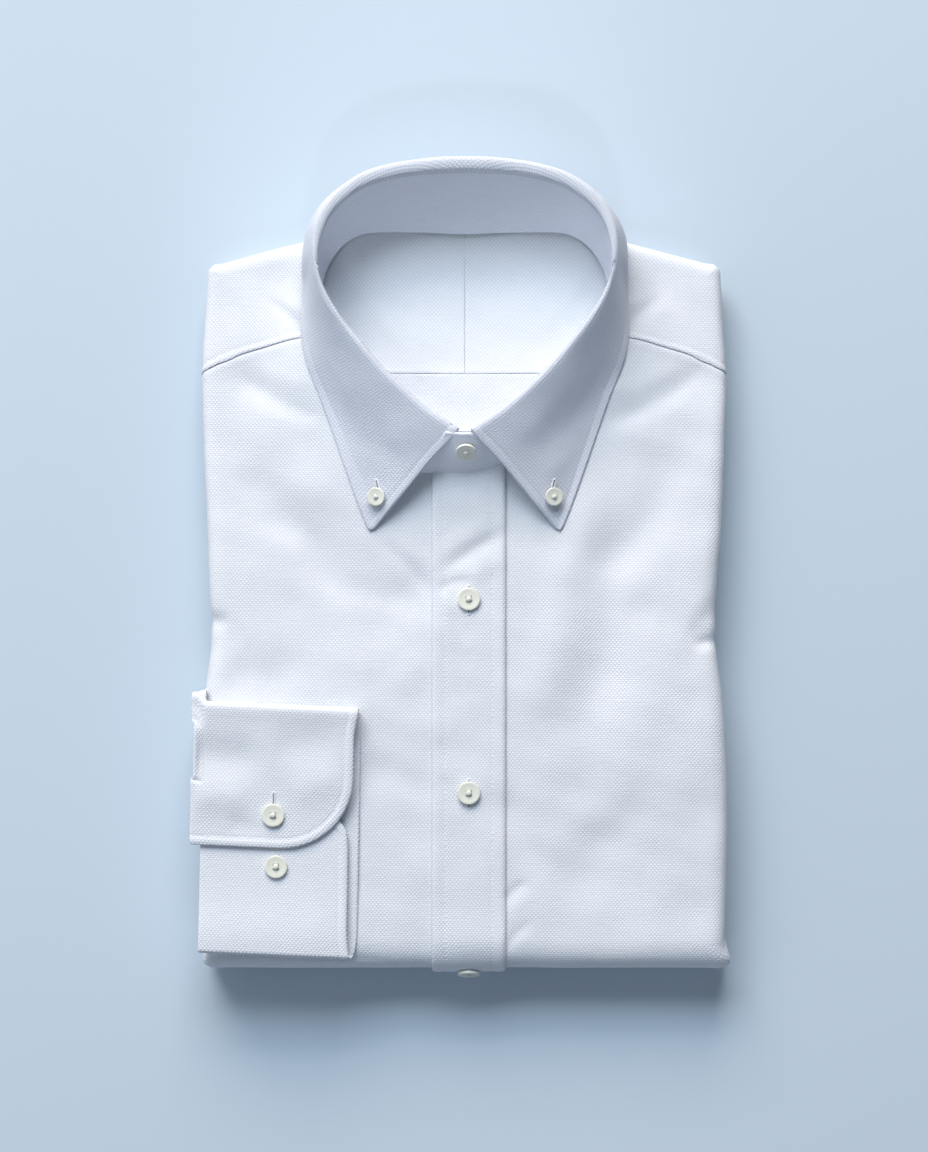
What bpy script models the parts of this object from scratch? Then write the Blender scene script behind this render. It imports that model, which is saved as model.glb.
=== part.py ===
"""A long-sleeved button-down shirt, folded and lying face up.

Every size is in millimetres until `solid` turns it into metres. +X is to the right of someone
looking down on the shirt, +Y runs from the lower fold to the collar and +Z is up. The garment's
own zero is the middle of the lower fold; at the end all pieces move so that the origin lies
under the middle of the whole shirt.
"""
import math

import bmesh
import bpy
import numpy as np
from mathutils import Matrix, Vector

MM = 0.001

# ---- driving sizes -------------------------------------------------------------------------
WALL = 1.5              # wall of a panel
STAND_WALL = 1.8        # wall of the interlined collar stand
LEAF_WALL = 1.6         # wall of the collar leaf
SLEEVE_WALL = 1.0       # wall of the flattened sleeve
GAP = 0.3               # air between two pieces
SEAM = 0.15             # half the gap of a seam between two panels
STACK_DROP = 1.0        # the hidden layers sit this much lower than the panels' seat
LEAF_GAP = 0.6          # air between the stand's top edge and the leaf

FOLD_STACK = 26.0       # height of the stack at the lower fold
SHOULDER_STACK = 19.0   # height of the stack at the shoulders
THINNING = (130.0, 330.0)   # the stack thins between these two heights along the body
LOWER_PACKET = 0.75     # how far the lower packet's edge bulges, against the upper one's
NECK_RISE = 4.5         # how far the fronts rise toward the neck

SPLIT_X = 1.7           # the line where the two fronts meet under the placket
PLACKET_EDGES = (-14.9, 18.3)
PLACKET_LIFT = 2.2      # underside of the placket above the panels' seat
PLACKET_TOP = (224.4, 222.4, 222.4, 225.6)  # its top edge follows the neck seam
FACE_ROWS = 12          # sections up a front panel
COLLAR_SEAM = 6.0       # height of the leaf strip that shows inside the roll
STAND_FOOT = 3.0        # stand's foot above the panels' seat
CUFF_RIGHT = -50.0
CUFF_LEFT = -117.2
CUFF_SLOPE = -0.045     # the cuff lies slightly turned
CUFF_LEAN = -0.018

WRAP = 120.0            # degrees that a panel turns round the side of the upper packet
FOLD_TURN = 135.0       # degrees that a panel turns round the lower fold
WRAP_STEP = 30.0
FOLD_STEP = 22.5

# ---- short tables --------------------------------------------------------------------------
# outline of the folded body: y, left edge, right edge (distance from the middle)
OUTLINE = (
    (0, 116.2, 116.2), (20, 116.8, 117.6), (50, 117.4, 118.4), (90, 118.0, 118.2),
    (122, 117.6, 116.2), (147, 114.6, 113.2), (170, 115.6, 114.2), (200, 116.6, 116.0),
    (235, 118.3, 117.4), (268, 119.2, 118.4), (290, 118.0, 117.0), (320, 116.2, 115.4),
)
# top edge of the shoulders: fraction of the half width, y
SHOULDER = ((0.0, 341.0), (0.35, 338.5), (0.52, 333.5), (0.62, 329.0), (0.8, 323.6), (1.0, 317.5))
# front yoke seam: distance from the middle, y
YOKE_SEAM = ((64.5, 285.2), (73.6, 283.7), (88.0, 279.7), (100.0, 276.2), (112.0, 271.4), (118.5, 267.6))
SEAM_STATIONS = (66.0, 78.0, 90.0, 101.0)
# the same seam where it goes round a side edge: degrees turned, y
SEAM_ROUND = ((0.0, 271.2), (30.0, 269.3), (60.0, 267.8), (90.0, 266.8), (120.0, 265.8))
# collar, from the middle of the back round to the front: neck seam x, y; roll x, y, z;
# outer edge of the leaf x, y, and its height z where it hangs free (0 = lies on the panels)
COLLAR = (
    (0.0, 330.2, 0.0, 359.2, 56.0, 0.0, 352.0, 12.0),
    (20.2, 330.9, 21.9, 357.9, 56.0, 22.0, 351.5, 12.0),
    (38.2, 331.0, 40.8, 353.7, 56.0, 43.0, 348.0, 12.0),
    (48.5, 329.7, 52.4, 347.2, 55.5, 57.0, 342.0, 12.5),
    (55.7, 324.3, 60.2, 339.8, 55.0, 66.8, 334.5, 15.0),
    (60.2, 318.9, 64.5, 331.4, 54.5, 71.6, 326.0, 20.0),
    (63.4, 312.2, 66.3, 322.1, 54.0, 72.6, 316.0, 0.0),
    (65.2, 303.6, 65.5, 313.9, 53.0, 72.8, 306.0, 0.0),
    (65.6, 293.3, 62.7, 304.8, 52.0, 73.2, 296.0, 0.0),
    (64.5, 285.0, 56.8, 293.5, 50.5, 73.8, 286.0, 0.0),
    (58.5, 268.0, 46.3, 279.5, 49.0, 70.9, 271.0, 0.0),
    (47.0, 252.5, 34.4, 266.0, 48.0, 63.6, 251.3, 0.0),
    (32.5, 238.5, 22.1, 254.6, 47.0, 56.8, 232.4, 0.0),
    (16.0, 228.5, 10.6, 245.4, 46.5, 50.2, 213.5, 0.0),
    (0.0, 225.0, 4.0, 241.0, 46.0, 42.8, 194.6, 0.0),
)
LAST = len(COLLAR) - 1
YOKE_ROW = LAST - 5      # the collar row where the yoke seam meets the neck
YOKE_INSIDE = 267.3      # seam between the inner yoke and the back panel
INSIDE_ROW = 10.05       # the collar row that this seam runs out to
NECK_INSET = 0.5         # panels stop this far from the neck seam
# where the yoke's sections leave the neck (collar rows) and reach the shoulder's edge
YOKE_NECK_ROWS = (8.0, 7.0, 6.0, 5.4, 4.9, 4.4, 4.0, 3.5, 3.0, 2.4, 1.7, 0.9, 0.0)
SHOULDER_STATIONS = (1.0, 0.85, 0.7, 0.56, 0.42, 0.28, 0.14)
STAND_LAP = 9.0          # each end of the stand passes the middle by this much
STAND_LAP_DROP = 1.3     # and its top edge drops there
STAND_LAP_RISE = 0.35    # each lapped end climbs by this much
STAND_ASIDE = 1.1        # the lapped ends lie this far to either side of the stand's middle
STAND_BOW = 1.2          # the stand bows out this far between foot and top
STAND_SECTIONS = 33
BACK_ROW = 7.0           # collar rows nearer the back than this have a narrow leaf
LEAF_SHORT = 10.0        # a leaf that reaches less than this hangs down steeply
LEAF_ROLL = 1.6          # radius of the leaf's roll over the stand
LEAF_BEND = (2.5, 0.12, 5.0)    # run of the bend outside the roll: least, per mm of reach, most
LEAF_FALL = (0.42, 0.30)        # pull of the lower bend: share of the reach, share of the drop
LEAF_STEPS = (0.1, 0.24, 0.4, 0.6, 0.8, 1.0)

# the largest folds of the face: x, y of both ends, half width, depth
FOLDS = (
    (-94.0, 216.0, -32.0, 168.0, 17.0, 1.5),
    (-97.0, 262.0, -64.0, 246.0, 11.0, 1.2),
    (104.0, 262.0, 64.0, 246.0, 11.0, 1.2),
    (-113.0, 150.0, -84.0, 160.0, 10.0, 1.6),
    (113.0, 148.0, 86.0, 158.0, 10.0, 1.6),
    (60.0, 225.0, 62.0, 40.0, 22.0, 1.0),
    (-84.0, 305.0, -74.0, 294.0, 10.0, 0.9),
    (86.0, 307.0, 76.0, 294.0, 10.0, 0.8),
)

BUTTON = 10.2            # distance across a placket or cuff button
COLLAR_BUTTON = 8.2
NECK_BUTTON = 9.2
BUTTON_HEIGHT = 2.9
BUTTON_SIDES = 16
PLACKET_BUTTONS = (165.6, 78.6)         # y of each, on the line where the fronts meet
COLLAR_BUTTON_PLACE = (13.47, 0.88)     # collar row, share of the fall
NECK_BUTTON_PLACE = (0.4, 0.55)         # x, share of the stand's height
# turned outline of a button: fraction of its radius, fraction of its height
BUTTON_PROFILE = ((0.0, 0.0), (0.62, 0.0), (0.92, 0.22), (1.0, 0.52), (0.9, 0.86), (0.74, 1.0),
                  (0.56, 0.86), (0.42, 0.62), (0.0, 0.52))

MATERIALS = {
    "cloth": ((0.86, 0.89, 0.94), 0.85),
    "inside": ((0.80, 0.84, 0.90), 0.85),
    "stack": ((0.82, 0.85, 0.91), 0.9),
    "button": ((0.84, 0.83, 0.76), 0.3),
}


# ---- plain mathematics ---------------------------------------------------------------------
def ease(value):
    """Smooth step from 0 to 1, flat outside that range."""
    value = min(1.0, max(0.0, value))
    return value * value * (3.0 - 2.0 * value)


def spline(rows, at):
    """Smooth curve through table rows; the first column is the position, the rest are values."""
    rows = np.asarray(rows, dtype=float)
    place, values = rows[:, 0], rows[:, 1:]
    slopes = np.gradient(values, place, axis=0)
    at = min(place[-1], max(place[0], at))
    index = min(len(place) - 2, int(np.searchsorted(place, at, side="right")) - 1)
    step = place[index + 1] - place[index]
    t = (at - place[index]) / step
    near = (1 + 2 * t) * (1 - t) ** 2 * values[index] + t * (1 - t) ** 2 * step * slopes[index]
    far = t * t * (3 - 2 * t) * values[index + 1] + t * t * (t - 1) * step * slopes[index + 1]
    return near + far


# ---- form of the folded body ---------------------------------------------------------------
def stack_height(y):
    start, end = THINNING
    return FOLD_STACK + (SHOULDER_STACK - FOLD_STACK) * ease((y - start) / (end - start))


def packet_radius(y):
    """Each of the two packets is half the stack high, with half-round side edges."""
    return stack_height(y) / 4.0


def flat_half(y, hand):
    """Distance from the middle to where the side edge starts to round away."""
    left, right = spline(OUTLINE, y)
    return (right if hand > 0 else left) - packet_radius(y) - GAP - WALL


def shoulder_line(across):
    """Height y at which the top edge starts to round away, by the fraction of the half width."""
    top = spline(SHOULDER, abs(across))[0]
    return top - packet_radius(top) - GAP - WALL


def neck_ring():
    """Neck seam as a closed ring of points."""
    half = [Vector((row[0], row[1])) for row in COLLAR]
    other = [Vector((-point.x, point.y)) for point in half[-2:0:-1]]
    return half + other


NECK_MIDDLE = Vector((0.0, 282.0))


def neck_distance(x, y):
    """Distance from the neck's middle as a fraction of the neck ring's radius that way."""
    ring = [point - NECK_MIDDLE for point in neck_ring()]
    ring.sort(key=lambda point: math.atan2(point.y, point.x))
    angles = [math.atan2(point.y, point.x) for point in ring]
    radii = [point.length for point in ring]
    here = Vector((x, y)) - NECK_MIDDLE
    radius = np.interp(math.atan2(here.y, here.x), angles, radii, period=2 * math.pi)
    return here.length / radius


def relief(x, y, hidden=False):
    """Height added to the face: the rise toward the neck less the largest folds."""
    reach = neck_distance(x, y)
    start, run = (0.98, 0.5) if hidden else (0.84, 0.14)
    rise = ease((reach - start) / run) * math.exp(-(max(0.0, reach - 1.0) / 0.5) ** 2)
    height = NECK_RISE * rise * ease((312.0 - y) / 60.0)
    here = Vector((x, y))
    for x0, y0, x1, y1, width, depth in FOLDS:
        start, end = Vector((x0, y0)), Vector((x1, y1))
        run = end - start
        along = min(1.0, max(0.0, (here - start).dot(run) / run.length_squared))
        away = (here - start - run * along).length / width
        height -= depth * math.exp(-away * away)
    return height * ease((y - 14.0) / 30.0)


def form(across, along, lift=0.0, lower=False, hidden=False):
    """Point of the folded body.

    across: -1..1 is flat, one more unit turns 90 degrees round a side edge.
    along: 0..1 is the straight body; below 0 one unit turns 90 degrees round the lower fold,
    above 1 one unit turns 90 degrees round the top edge.
    """
    hand = 1.0 if across > 0 else -1.0
    flat = min(1.0, max(-1.0, across))
    start = FOLD_STACK / 2.0
    y = start + min(1.0, max(0.0, along)) * (shoulder_line(flat) - start)
    side = max(0.0, abs(across) - 1.0)
    end = max(0.0, along - 1.0)
    turned = math.radians(90.0 * max(side, end))
    heading = math.atan2(end, side)
    radius = packet_radius(y)
    bulge = LOWER_PACKET if lower else 1.0
    outward = (radius * bulge + lift) * math.sin(turned)
    height = radius + (radius + lift) * math.cos(turned)
    x = flat * flat_half(y, hand) + hand * outward * math.cos(heading)
    if along < 0:
        fold = math.radians(-90.0 * along)
        return (x, start - height * math.sin(fold), start + height * math.cos(fold))
    y_out = y + outward * math.sin(heading)
    middle = stack_height(y) / 2.0
    if lower:
        return (x, y_out, middle - height)
    face = relief(x, y, hidden) * (0.5 + 0.5 * math.cos(turned))
    return (x, y_out, middle + height + face)


def place_on(x, y):
    """The `across` and `along` of a point of the flat face."""
    hand = 1.0 if x > 0 else -1.0
    across = x / flat_half(y, hand)
    start = FOLD_STACK / 2.0
    along = (y - start) / (shoulder_line(min(1.0, max(-1.0, across))) - start)
    if abs(across) > 1.0:
        reach = (abs(x) - flat_half(y, hand)) / (packet_radius(y) + GAP + WALL)
        across = hand * (1.0 + math.asin(min(1.0, reach)) / (math.pi / 2))
    if along > 1.0:
        reach = (y - shoulder_line(across)) / (packet_radius(y) + GAP + WALL)
        along = 1.0 + math.asin(min(1.0, reach)) / (math.pi / 2)
    return across, along


def side_along(y):
    """The `along` of a height y on a side edge."""
    start = FOLD_STACK / 2.0
    return (y - start) / (shoulder_line(1.0) - start)


def face_height(x, y):
    """Height of the panels' outer face."""
    return form(*place_on(x, y), lift=GAP + WALL)[2]


# ---- meshes --------------------------------------------------------------------------------
def material(kind):
    made = bpy.data.materials.get(kind)
    if made is None:
        colour, roughness = MATERIALS[kind]
        made = bpy.data.materials.new(kind)
        made.use_nodes = True
        shader = made.node_tree.nodes["Principled BSDF"]
        shader.inputs["Base Color"].default_value = (*colour, 1.0)
        shader.inputs["Roughness"].default_value = roughness
        shader.inputs["Metallic"].default_value = 0.0
    return made


def solid(name, points, faces, kind, merge=False):
    """One closed piece from points in millimetres, its faces turned outward."""
    mesh = bpy.data.meshes.new(name)
    mesh.from_pydata([tuple(MM * value for value in point) for point in points], [], faces)
    work = bmesh.new()
    work.from_mesh(mesh)
    if merge:
        bmesh.ops.remove_doubles(work, verts=work.verts, dist=0.01 * MM)
        bmesh.ops.dissolve_degenerate(work, dist=0.01 * MM, edges=work.edges)
    bmesh.ops.recalc_face_normals(work, faces=work.faces)
    work.to_mesh(mesh)
    work.free()
    mesh.materials.append(material(kind))
    mesh.shade_smooth()
    mesh.set_sharp_from_angle(angle=math.radians(40))
    made = bpy.data.objects.new(name, mesh)
    bpy.context.scene.collection.objects.link(made)
    return made


def grid_faces(rows, columns, first=0, loop=False):
    """Quads of a grid of points; with loop the last column joins the first."""
    faces = []
    for row in range(rows - 1):
        for column in range(columns if loop else columns - 1):
            after = (column + 1) % columns
            here = first + row * columns
            faces.append((here + column, here + after, here + columns + after, here + columns + column))
    return faces


def slab(name, under, over, kind):
    """Panel between two grids of points with the same rows and columns."""
    rows, columns = len(under), len(under[0])
    points = [point for row in under for point in row] + [point for row in over for point in row]
    second = rows * columns
    faces = grid_faces(rows, columns) + grid_faces(rows, columns, second)
    rim = [column for column in range(columns)]
    rim += [row * columns + columns - 1 for row in range(1, rows)]
    rim += [(rows - 1) * columns + column for column in range(columns - 2, -1, -1)]
    rim += [row * columns for row in range(rows - 2, 0, -1)]
    for here, after in zip(rim, rim[1:] + rim[:1]):
        faces.append((here, after, second + after, second + here))
    return solid(name, points, faces, kind)


def panel(name, stations, kind="cloth", lift=GAP, wall=WALL):
    """Panel that follows the body over a grid of (across, along) stations."""
    under = [[form(*place, lift=lift) for place in row] for row in stations]
    over = [[form(*place, lift=lift + wall) for place in row] for row in stations]
    return slab(name, under, over, kind)


def wall_of(name, grid, wall, kind):
    """Panel of even thickness about a grid of middle points."""
    middle = np.asarray(grid, dtype=float)
    normal = np.cross(np.gradient(middle, axis=0), np.gradient(middle, axis=1))
    normal /= np.linalg.norm(normal, axis=2)[:, :, None]
    half = normal * wall / 2.0
    return slab(name, (middle - half).tolist(), (middle + half).tolist(), kind)


def turns(limit, step):
    """Quarter turns from one step up to a limit in degrees."""
    return [step * count / 90.0 for count in range(1, int(round(limit / step)) + 1)]


def spread(start, end, count):
    return [start + (end - start) * index / (count - 1) for index in range(count)]


# ---- body pieces ---------------------------------------------------------------------------
def folded_layers():
    """Both packets of hidden layers as one solid, bent round the lower fold, flat below."""
    side = turns(180.0, WRAP_STEP)
    across = [-1.0 - turn for turn in reversed(side)] + spread(-1.0, 1.0, 11) + [1.0 + turn for turn in side]
    straight = spread(0.0, 1.0, 12)
    rows = []
    for turn in reversed(turns(180.0, WRAP_STEP)):
        rows.append([form(place, 1.0 + turn, -STACK_DROP, hidden=True) for place in across])
    for along in reversed(straight[1:]):
        rows.append([form(place, along, -STACK_DROP, hidden=True) for place in across])
    for turn in [0.0] + turns(180.0, FOLD_STEP):
        rows.append([form(place, -turn, -STACK_DROP * (1.0 - turn / 2.0)) for place in across])
    for along in straight[1:]:
        rows.append([form(place, along, lower=True) for place in across])
    for turn in turns(180.0, WRAP_STEP):
        rows.append([form(place, 1.0 + turn, lower=True) for place in across])
    # the two packets meet along the groove between them
    for row in rows:
        for column in (0, -1):
            x, y, z = row[column]
            y = max(y, FOLD_STACK / 2.0)
            row[column] = (x, y, stack_height(y) / 2.0)
    for row in (rows[0], rows[-1]):
        row[:] = [(x, y, stack_height(y) / 2.0) for x, y, z in row]
    points = [point for row in rows for point in row]
    return solid("folded_layers", points, grid_faces(len(rows), len(across)), "stack", merge=True)


def seam_place(x):
    """Point of the front yoke seam at a distance from the middle."""
    return spline(YOKE_SEAM, abs(x))[0]


def neck_place(row, inset):
    """Point of the neck seam at a collar row, moved out of the ring by inset."""
    ring = [(index, *entry[:2]) for index, entry in enumerate(COLLAR)]
    point = Vector(spline(ring, row))
    return point + (point - NECK_MIDDLE).normalized() * inset


def front(hand):
    """Front panel: neck and yoke seam at the top, round the side and the lower fold."""
    split = SPLIT_X * hand + SEAM
    start = FOLD_STACK / 2.0
    wide = flat_half(start, hand)
    top = [neck_place(row, NECK_INSET) for row in range(LAST, YOKE_ROW, -1)]
    top[0].x = split
    top += [Vector((x, seam_place(x) - SEAM)) for x in SEAM_STATIONS]
    low = spread(split, wide, len(top) + 1)
    stations = []
    for turn in reversed(turns(FOLD_TURN, FOLD_STEP)):
        stations.append([(hand * x / wide, -turn) for x in low]
                        + [(hand * (1.0 + side), -turn) for side in turns(WRAP, WRAP_STEP)])
    for share in spread(0.0, 1.0, FACE_ROWS):
        row = []
        for low_x, high in zip(low, top):
            x = low_x + (high.x - low_x) * share
            row.append(place_on(hand * x, start + (high.y - start) * share))
        for degrees, seam_y in SEAM_ROUND:
            y = start + (seam_y - SEAM - start) * share
            row.append((hand * (1.0 + degrees / 90.0), side_along(y)))
        stations.append(row)
    return panel("front_right" if hand > 0 else "front_left", stations)


def yoke(hand):
    """Half of the outer yoke: from the seam over the shoulder's edge, and behind the neck."""
    quarter = math.radians(90.0)
    seam_end = side_along(SEAM_ROUND[0][1] + SEAM)
    side_rows = 3
    outer = [(hand, along, 0.0) for along in spread(seam_end, 1.0, side_rows + 1)]
    outer += [(hand, 1.0, quarter * share) for share in (1.0 / 3.0, 2.0 / 3.0)]
    outer += [(hand * across, 1.0, quarter) for across in SHOULDER_STATIONS]
    outer.append((hand * SEAM / SHOULDER[-1][1], 1.0, quarter))
    inner = [Vector((SEAM_STATIONS[0], seam_place(SEAM_STATIONS[0]) + SEAM))]
    inner += [neck_place(row, NECK_INSET) for row in YOKE_NECK_ROWS]
    inner[-1].x = SEAM
    stations = []
    for (across, along, heading), start in zip(outer, inner):
        near = place_on(hand * start.x, start.y)
        row = [(near[0] + (across - near[0]) * share, near[1] + (along - near[1]) * share)
               for share in spread(0.0, 1.0, len(SEAM_STATIONS) + 1)]
        longest = max(math.cos(heading), math.sin(heading))
        for turn in turns(WRAP, WRAP_STEP):
            side, end = turn * math.cos(heading) / longest, turn * math.sin(heading) / longest
            row.append((across + hand * side, along + end))
        stations.append(row)
    # the seam edge follows the seam's own curve
    for column, x in enumerate(SEAM_STATIONS):
        stations[0][column] = place_on(hand * x, seam_place(x) + SEAM)
    first = len(SEAM_STATIONS) + 1
    for index, row in enumerate(stations[:side_rows]):
        for column, (degrees, seam_y) in enumerate(SEAM_ROUND[1:], first):
            across, along = row[column]
            fall = side_along(seam_y + SEAM) - seam_end
            row[column] = (across, along + fall * (1.0 - index / side_rows))
    return panel("yoke_right" if hand > 0 else "yoke_left", stations)


def placket():
    """Strip over the meeting edges of the fronts, from the collar round the lower fold."""
    left, right = PLACKET_EDGES
    start = FOLD_STACK / 2.0
    columns = spread(left, right, len(PLACKET_TOP))
    stations = []
    for turn in reversed(turns(FOLD_TURN, FOLD_STEP)):
        stations.append([(x / flat_half(start, x), -turn) for x in columns])
    for share in spread(0.0, 1.0, FACE_ROWS + 2):
        stations.append([place_on(x, start + (top - start) * share) for x, top in zip(columns, PLACKET_TOP)])
    return panel("placket", stations, lift=PLACKET_LIFT)


def inner_yoke(hand):
    """Half of the inner yoke, inside the neck, from its centre seam out to the neck seam."""
    stations = []
    for share in spread(0.0, 1.0, 9):
        edge = neck_place(INSIDE_ROW * share, -NECK_INSET)
        bottom = YOKE_INSIDE + SEAM + (COLLAR[0][1] - 2.0 - YOKE_INSIDE) * (1.0 - share)
        edge.x = max(edge.x, SEAM)
        edge.y = max(edge.y, YOKE_INSIDE + SEAM)
        row = [place_on(hand * (SEAM + (edge.x - SEAM) * part), bottom + (edge.y - bottom) * part)
               for part in spread(0.0, 1.0, 6)]
        stations.append(row)
    return panel("inner_yoke_right" if hand > 0 else "inner_yoke_left", stations, "inside")


def back_panel():
    """The back, as far as it shows inside the neck below the yoke."""
    stations = []
    for share in spread(0.0, 1.0, 7):
        edge = neck_place(INSIDE_ROW + 0.1 + (LAST - INSIDE_ROW - 0.35) * share, -NECK_INSET)
        edge.y = min(edge.y, YOKE_INSIDE - SEAM)
        stations.append([place_on(x, edge.y) for x in spread(-edge.x, edge.x, 8)])
    return panel("back_panel", stations, "inside")


# ---- collar --------------------------------------------------------------------------------
def collar_rows():
    """The whole collar, from the left front round the back to the right front."""
    rows = []
    for index in range(-LAST, LAST + 1):
        hand = 1.0 if index >= 0 else -1.0
        bx, by, rx, ry, rz, ex, ey, ez = COLLAR[abs(index)]
        base = (hand * bx, by, face_height(bx, by) + STAND_FOOT - WALL)
        free = ez if ez else face_height(ex, ey) + GAP + LEAF_WALL * 0.85
        rows.append((index, *base, hand * rx, ry, rz, hand * ex, ey, free))
    return rows


def collar_section(rows, at):
    """Neck seam, roll and leaf edge at one place round the collar."""
    values = spline(rows, at)
    return Vector(values[:3]), Vector(values[3:6]), Vector(values[6:9])


def collar_stand(rows):
    """Stand: an upright band whose ends pass each other at the front."""
    places = [-LAST - 1.0, -LAST - 0.5] + spread(-LAST, LAST, STAND_SECTIONS) + [LAST + 0.5, LAST + 1.0]
    grid = []
    for place in places:
        foot, roll, edge = collar_section(rows, min(LAST, max(-LAST, place)))
        past = max(0.0, abs(place) - LAST)
        hand = 1.0 if place > 0 else -1.0
        if abs(place) >= LAST:
            roll.x = 0.0
        for point in (foot, roll):
            point.x -= hand * STAND_LAP * past
            point.y += STAND_LAP_RISE * past
        rise = (roll - foot)
        lapped = ease(abs(place) - LAST + 1.0)
        rise -= rise.normalized() * (COLLAR_SEAM + LEAF_GAP + STAND_LAP_DROP * lapped)
        around = Vector((foot.y - NECK_MIDDLE.y, -(foot.x - NECK_MIDDLE.x), 0.0))
        normal = rise.cross(around).normalized()
        if normal.dot(Vector((foot.x, foot.y - NECK_MIDDLE.y, 0.0))) < 0:
            normal = -normal
        shift = normal * hand * STAND_ASIDE * ease((abs(place) - LAST + 2.0) / 2.0)
        grid.append([tuple(foot + rise * part + shift + normal * STAND_BOW * math.sin(math.pi * part))
                     for part in spread(0.0, 1.0, 5)])
    return wall_of("collar_stand", grid, STAND_WALL, "inside")


def leaf_curve(foot, roll, edge):
    """Section of the leaf: a short strip inside, the roll, and the fall to its edge."""
    down = (foot - roll).normalized()
    start = roll + down * COLLAR_SEAM
    away = Vector((edge.x - roll.x, edge.y - roll.y, 0.0))
    out = Vector((roll.x - foot.x, roll.y - foot.y, 0.0)).normalized()
    reach = away.length
    if reach > LEAF_SHORT:
        out = away.normalized()
    drop = roll.z - edge.z
    least, share, most = LEAF_BEND
    bend = min(most, least + share * reach)
    inner = roll - out * LEAF_ROLL + Vector((0.0, 0.0, -LEAF_ROLL))
    points = [start, (start + inner) / 2.0, inner, roll]
    first = roll + out * bend
    second = edge - away * LEAF_FALL[0] + Vector((0.0, 0.0, drop * LEAF_FALL[1]))
    if reach <= LEAF_SHORT:
        second = edge + out * (bend - LEAF_GAP) + Vector((0.0, 0.0, drop * 0.5))
    for t in LEAF_STEPS:
        s = 1.0 - t
        points.append(roll * s ** 3 + first * (3 * s * s * t) + second * (3 * s * t * t) + edge * t ** 3)
    return points


def collar_leaf(rows):
    """Leaf: rolls over the stand, lies on the shoulders and ends in two points."""
    near = BACK_ROW - 0.8
    places = spread(-LAST, -BACK_ROW, 10) + spread(-near, near, 13) + spread(BACK_ROW, LAST, 10)
    grid = [[tuple(point) for point in leaf_curve(*collar_section(rows, place))] for place in places]
    return wall_of("collar_leaf", grid, LEAF_WALL, "cloth")


# ---- sleeve and cuff -----------------------------------------------------------------------
SLEEVE_SPAN = (7.0, 123.0)    # y of the sleeve's two folds
SLEEVE_STEP_Y = 59.0          # below this the sleeve is thinner
CUFF_LOW = 28.85              # middle height of the cuff's back layer
CUFF_INNER = 31.4             # middle height of the lower flap
CUFF_UPPER = 33.25            # middle height of the upper flap
CUFF_ENDS = (7.4, 116.0)      # y where the cuff's two folds begin
FLAP_END = 54.2               # y of the upper flap's edge
INNER_END = 74.0              # y of the lower flap's edge, under the upper one
FLAP_CORNER = 33.0            # radius of the upper flap's corner
INNER_CORNER = 18.0           # radius of the lower flap's corner
# how far each run of the cuff reaches past its nominal hand edge
INNER_REACH = -1.2
BACK_REACH = 3.4
TURN_REACH = 2.4
FLAP_REACH = 0.6
INNER_ROWS = (74.0, 72.0, 68.0, 60.0, 40.0, 20.0)
BACK_ROWS = (20.0, 60.0, 100.0)
FLAP_ROWS = (104.0, 92.0, 82.0, 73.0, 66.0, 60.5, 57.0, 55.0, FLAP_END)
CUFF_PIVOT = (-84.0, 118.0)   # the cuff is turned about this place
CUFF_BUTTONS = ((-85.8, 69.0, CUFF_UPPER), (-84.6, 45.8, CUFF_INNER))   # x, y, height of the flap


def cuff_path():
    """Run of the cuff round its two folds: y, z and the x of its hand edge."""
    low, high = CUFF_ENDS
    path = [(y, CUFF_INNER, corner(y, INNER_END, INNER_CORNER, CUFF_RIGHT + INNER_REACH))
            for y in INNER_ROWS]
    radius = (CUFF_INNER - CUFF_LOW) / 2.0
    for turn in (0.0, 45.0, 90.0, 135.0, 180.0):
        angle = math.radians(turn)
        path.append((low - radius * math.sin(angle), CUFF_LOW + radius + radius * math.cos(angle),
                     CUFF_RIGHT + turn / 180.0 * 2.0))
    path += [(y, CUFF_LOW, CUFF_RIGHT + BACK_REACH) for y in BACK_ROWS]
    radius = (CUFF_UPPER - CUFF_LOW) / 2.0
    for turn in (0.0, 40.0, 80.0, 120.0, 180.0):
        angle = math.radians(turn)
        path.append((high + radius * math.sin(angle), CUFF_LOW + radius - radius * math.cos(angle),
                     CUFF_RIGHT + TURN_REACH))
    path += [(y, CUFF_UPPER, corner(y, FLAP_END, FLAP_CORNER, CUFF_RIGHT + FLAP_REACH))
             for y in FLAP_ROWS]
    return path


def corner(y, end, radius, edge):
    """Hand edge of a flap whose corner is rounded off toward its end."""
    if end < INNER_END:
        into = end + radius - y
    else:
        into = y - (end - radius)
    into = min(radius, max(0.0, into))
    return edge - radius + math.sqrt(radius * radius - into * into)


def cuff_skew(x, y, z):
    return (x + CUFF_LEAN * (CUFF_PIVOT[1] - y), y + CUFF_SLOPE * (x - CUFF_PIVOT[0]), z)


def cuff():
    """Barrel cuff pressed flat: one strip that runs round and laps over itself."""
    grid = []
    for y, z, right in cuff_path():
        grid.append([cuff_skew(x, y, z) for x in spread(CUFF_LEFT, right, 7)])
    return wall_of("cuff", grid, WALL, "cloth")


# the sleeve's way: level, over the side edge, and in under the fold
SLEEVE_TOP = 30.8             # height of the level run
SIDE_TURN = (-118.0, 27.4, 3.4)     # middle x, z and radius of the turn over the side edge
UNDER_TURN = (-116.4, 7.6, 5.0)     # and of the turn in under the fold
SIDE_MIDDLE = 17.0            # height of the straight run's middle station
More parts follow.
